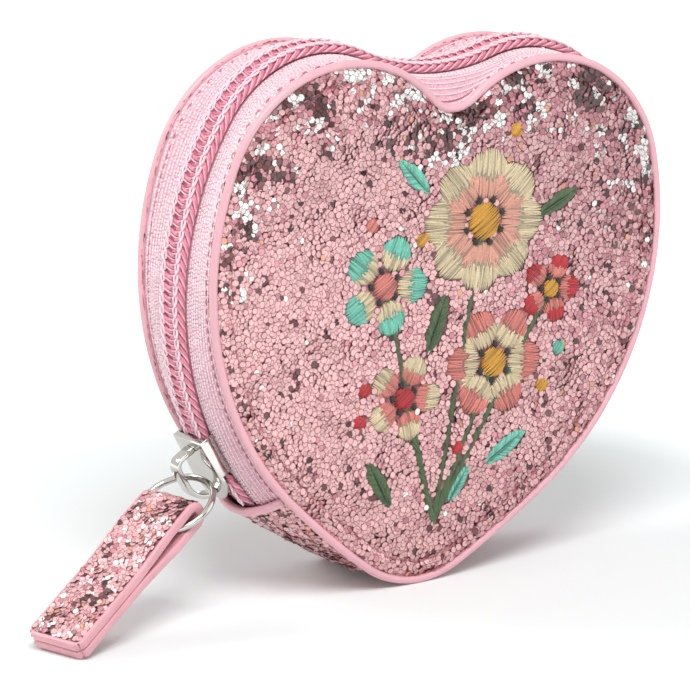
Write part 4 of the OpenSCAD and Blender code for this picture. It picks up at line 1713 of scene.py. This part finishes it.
class PURSE_OT_stage(bpy.types.Operator):
    """Sets up the white floor, the soft lights and the camera at the photograph's angle"""

    bl_idname = "purse.stage"
    bl_label = "Set Stage"

    def execute(self, context):
        scene = context.scene
        s = scene.stage_sizes
        right, up, forward = camera_frame()
        turn = placed()
        right, up, forward = (turn.to_3x3() @ axis for axis in (right, up, forward))
        camera = linked("camera", bpy.data.cameras.new("camera"))
        camera.matrix_world = framed(right, up, -forward, turn @ CAMERA_AT)
        camera.data.sensor_width = 36
        camera.data.lens = s.lens
        camera.data.clip_start = 0.1
        camera.data.clip_end = 10
        scene.camera = camera

        level = Matrix.Translation((0, 0, SHELL_BOX[0].z))
        stage_plate("floor", level, FLOOR_W, FLOOR_W, floor_material())

        world = bpy.data.worlds.new("studio")
        world.use_nodes = True
        scene.world = world
        white_world(world)
        centre = Vector((0, -face_y(), 0))
        for name, at, size in LAMPS:
            add_area(name, centre + Vector(at), centre, size, getattr(s, name))
        for k, (at, width) in enumerate(DARK_CARDS):
            add_card("dark_card_" + str(k), centre + Vector(at), centre, width)
        scene.view_settings.view_transform = "Standard"
        return {"FINISHED"}


# Lamps: name, place from the purse's middle and width, in metres
LAMPS = [
    ("key", (-0.30, -0.42, 0.75), 0.5), ("fill", (0.65, -0.55, 0.35), 0.7),
    ("back", (-0.5, 0.5, 0.5), 0.4),
]
# Dark cards beside the camera, as a photographer sets them up to draw dark lines on bright metal:
# place from the purse's middle and width, in metres
DARK_CARDS = [
    ((0.25, -0.62, 0.10), 0.16), ((-0.70, -0.10, 0.20), 0.20), ((-0.20, -0.45, 0.62), 0.12),
]
CARD_H = 0.5


def stage_plate(name, place, width, height, material):
    """A flat plate of the stage"""
    bm = bmesh.new()
    bmesh.ops.create_grid(bm, x_segments=1, y_segments=1, size=0.5)
    bmesh.ops.scale(bm, verts=bm.verts, vec=(width, height, 1))
    bmesh.ops.transform(bm, verts=bm.verts, matrix=place)
    plate = finished(bm, name, smooth=False)
    plate.data.materials.append(material)
    return plate


def add_card(name, at, aim, width):
    """A tall black card that only reflections see"""
    place = Matrix.Translation(at) @ (aim - at).to_track_quat("Z", "Y").to_matrix().to_4x4()
    card = stage_plate(name, place, width, CARD_H, Shader(name, (0.02, 0.02, 0.02), 0.9).material)
    card.visible_camera = False
    card.visible_diffuse = False
    card.visible_shadow = False


def add_area(name, at, aim, size, power):
    lamp = bpy.data.lights.new(name, "AREA")
    lamp.shape = "DISK"
    lamp.size = size
    lamp.energy = power
    holder = linked(name, lamp)
    holder.location = at
    holder.rotation_mode = "QUATERNION"
    holder.rotation_quaternion = (aim - at).to_track_quat("-Z", "Y")


# Strength of the sky as a light. The floor's own white, added to its lit white, starts and ends at
# the first two distances with the last two strengths, so that the lamps' fading doesn't grey it.
SKY_LIGHT = 0.45
FLOOR_GLOW = (0.10, 0.18, 0.05, 0.9)
FLOOR = (0.86, 0.9, 0.9)


def floor_material():
    """White floor that stays white to the camera and in reflections, and keeps the shadow"""
    s = Shader("studio floor", FLOOR, 0.9, Specular_IOR_Level=0.1, Emission_Color=(1, 1, 1, 1))
    away = s.node("VectorMath", i0=s.place())
    away.operation = "LENGTH"
    names = ("From_Min", "From_Max", "To_Min", "To_Max")
    spread = s.node("MapRange", Value=away.outputs["Value"], **dict(zip(names, FLOOR_GLOW)))
    s.face(Emission_Strength=s.math("MULTIPLY", spread.outputs["Result"], s.seen_plainly()))
    return s.material


def white_world(world):
    """Soft white light all round, plain white to the camera and in reflections"""
    sky = Tree(world.node_tree, "Background")
    plain = sky.math("MULTIPLY_ADD", sky.seen_plainly(), 1 - SKY_LIGHT, SKY_LIGHT)
    sky.face(Color=(1, 1, 1, 1), Strength=plain)


class PURSE_PT_panel(bpy.types.Panel):
    """Lists the steps of the purse"""

    bl_idname = "PURSE_PT_panel"
    bl_label = "Heart Purse"
    bl_space_type = "VIEW_3D"
    bl_region_type = "UI"
    bl_category = "Heart Purse"

    def draw(self, context):
        for step in STEPS:
            self.layout.operator(step.bl_idname)


GROUPS = {
    "heart_sizes": HeartSizes,
    "zip_sizes": ZipSizes,
    "gusset_sizes": GussetSizes,
    "glitter_sizes": GlitterSizes,
    "pull_sizes": PullSizes,
    "embroidery_sizes": EmbroiderySizes,
    "purse_colours": PurseColours,
    "stage_sizes": StageSizes,
}
STEPS = [
    PURSE_OT_materials, PURSE_OT_panels, PURSE_OT_piping, PURSE_OT_zip, PURSE_OT_embroidery,
    PURSE_OT_gusset, PURSE_OT_linings, PURSE_OT_slider, PURSE_OT_tab, PURSE_OT_stage,
]


def register():
    for name, group in GROUPS.items():
        bpy.utils.register_class(group)
        setattr(bpy.types.Scene, name, PointerProperty(type=group))
    for step in STEPS:
        bpy.utils.register_class(step)
    bpy.utils.register_class(PURSE_PT_panel)


def unregister():
    bpy.utils.unregister_class(PURSE_PT_panel)
    for step in reversed(STEPS):
        bpy.utils.unregister_class(step)
    for name, group in reversed(GROUPS.items()):
        delattr(bpy.types.Scene, name)
        bpy.utils.unregister_class(group)


def main():
    register()
    for step in STEPS:
        area, action = step.bl_idname.split(".")
        getattr(getattr(bpy.ops, area), action)()


if __name__ == "__main__":
    main()
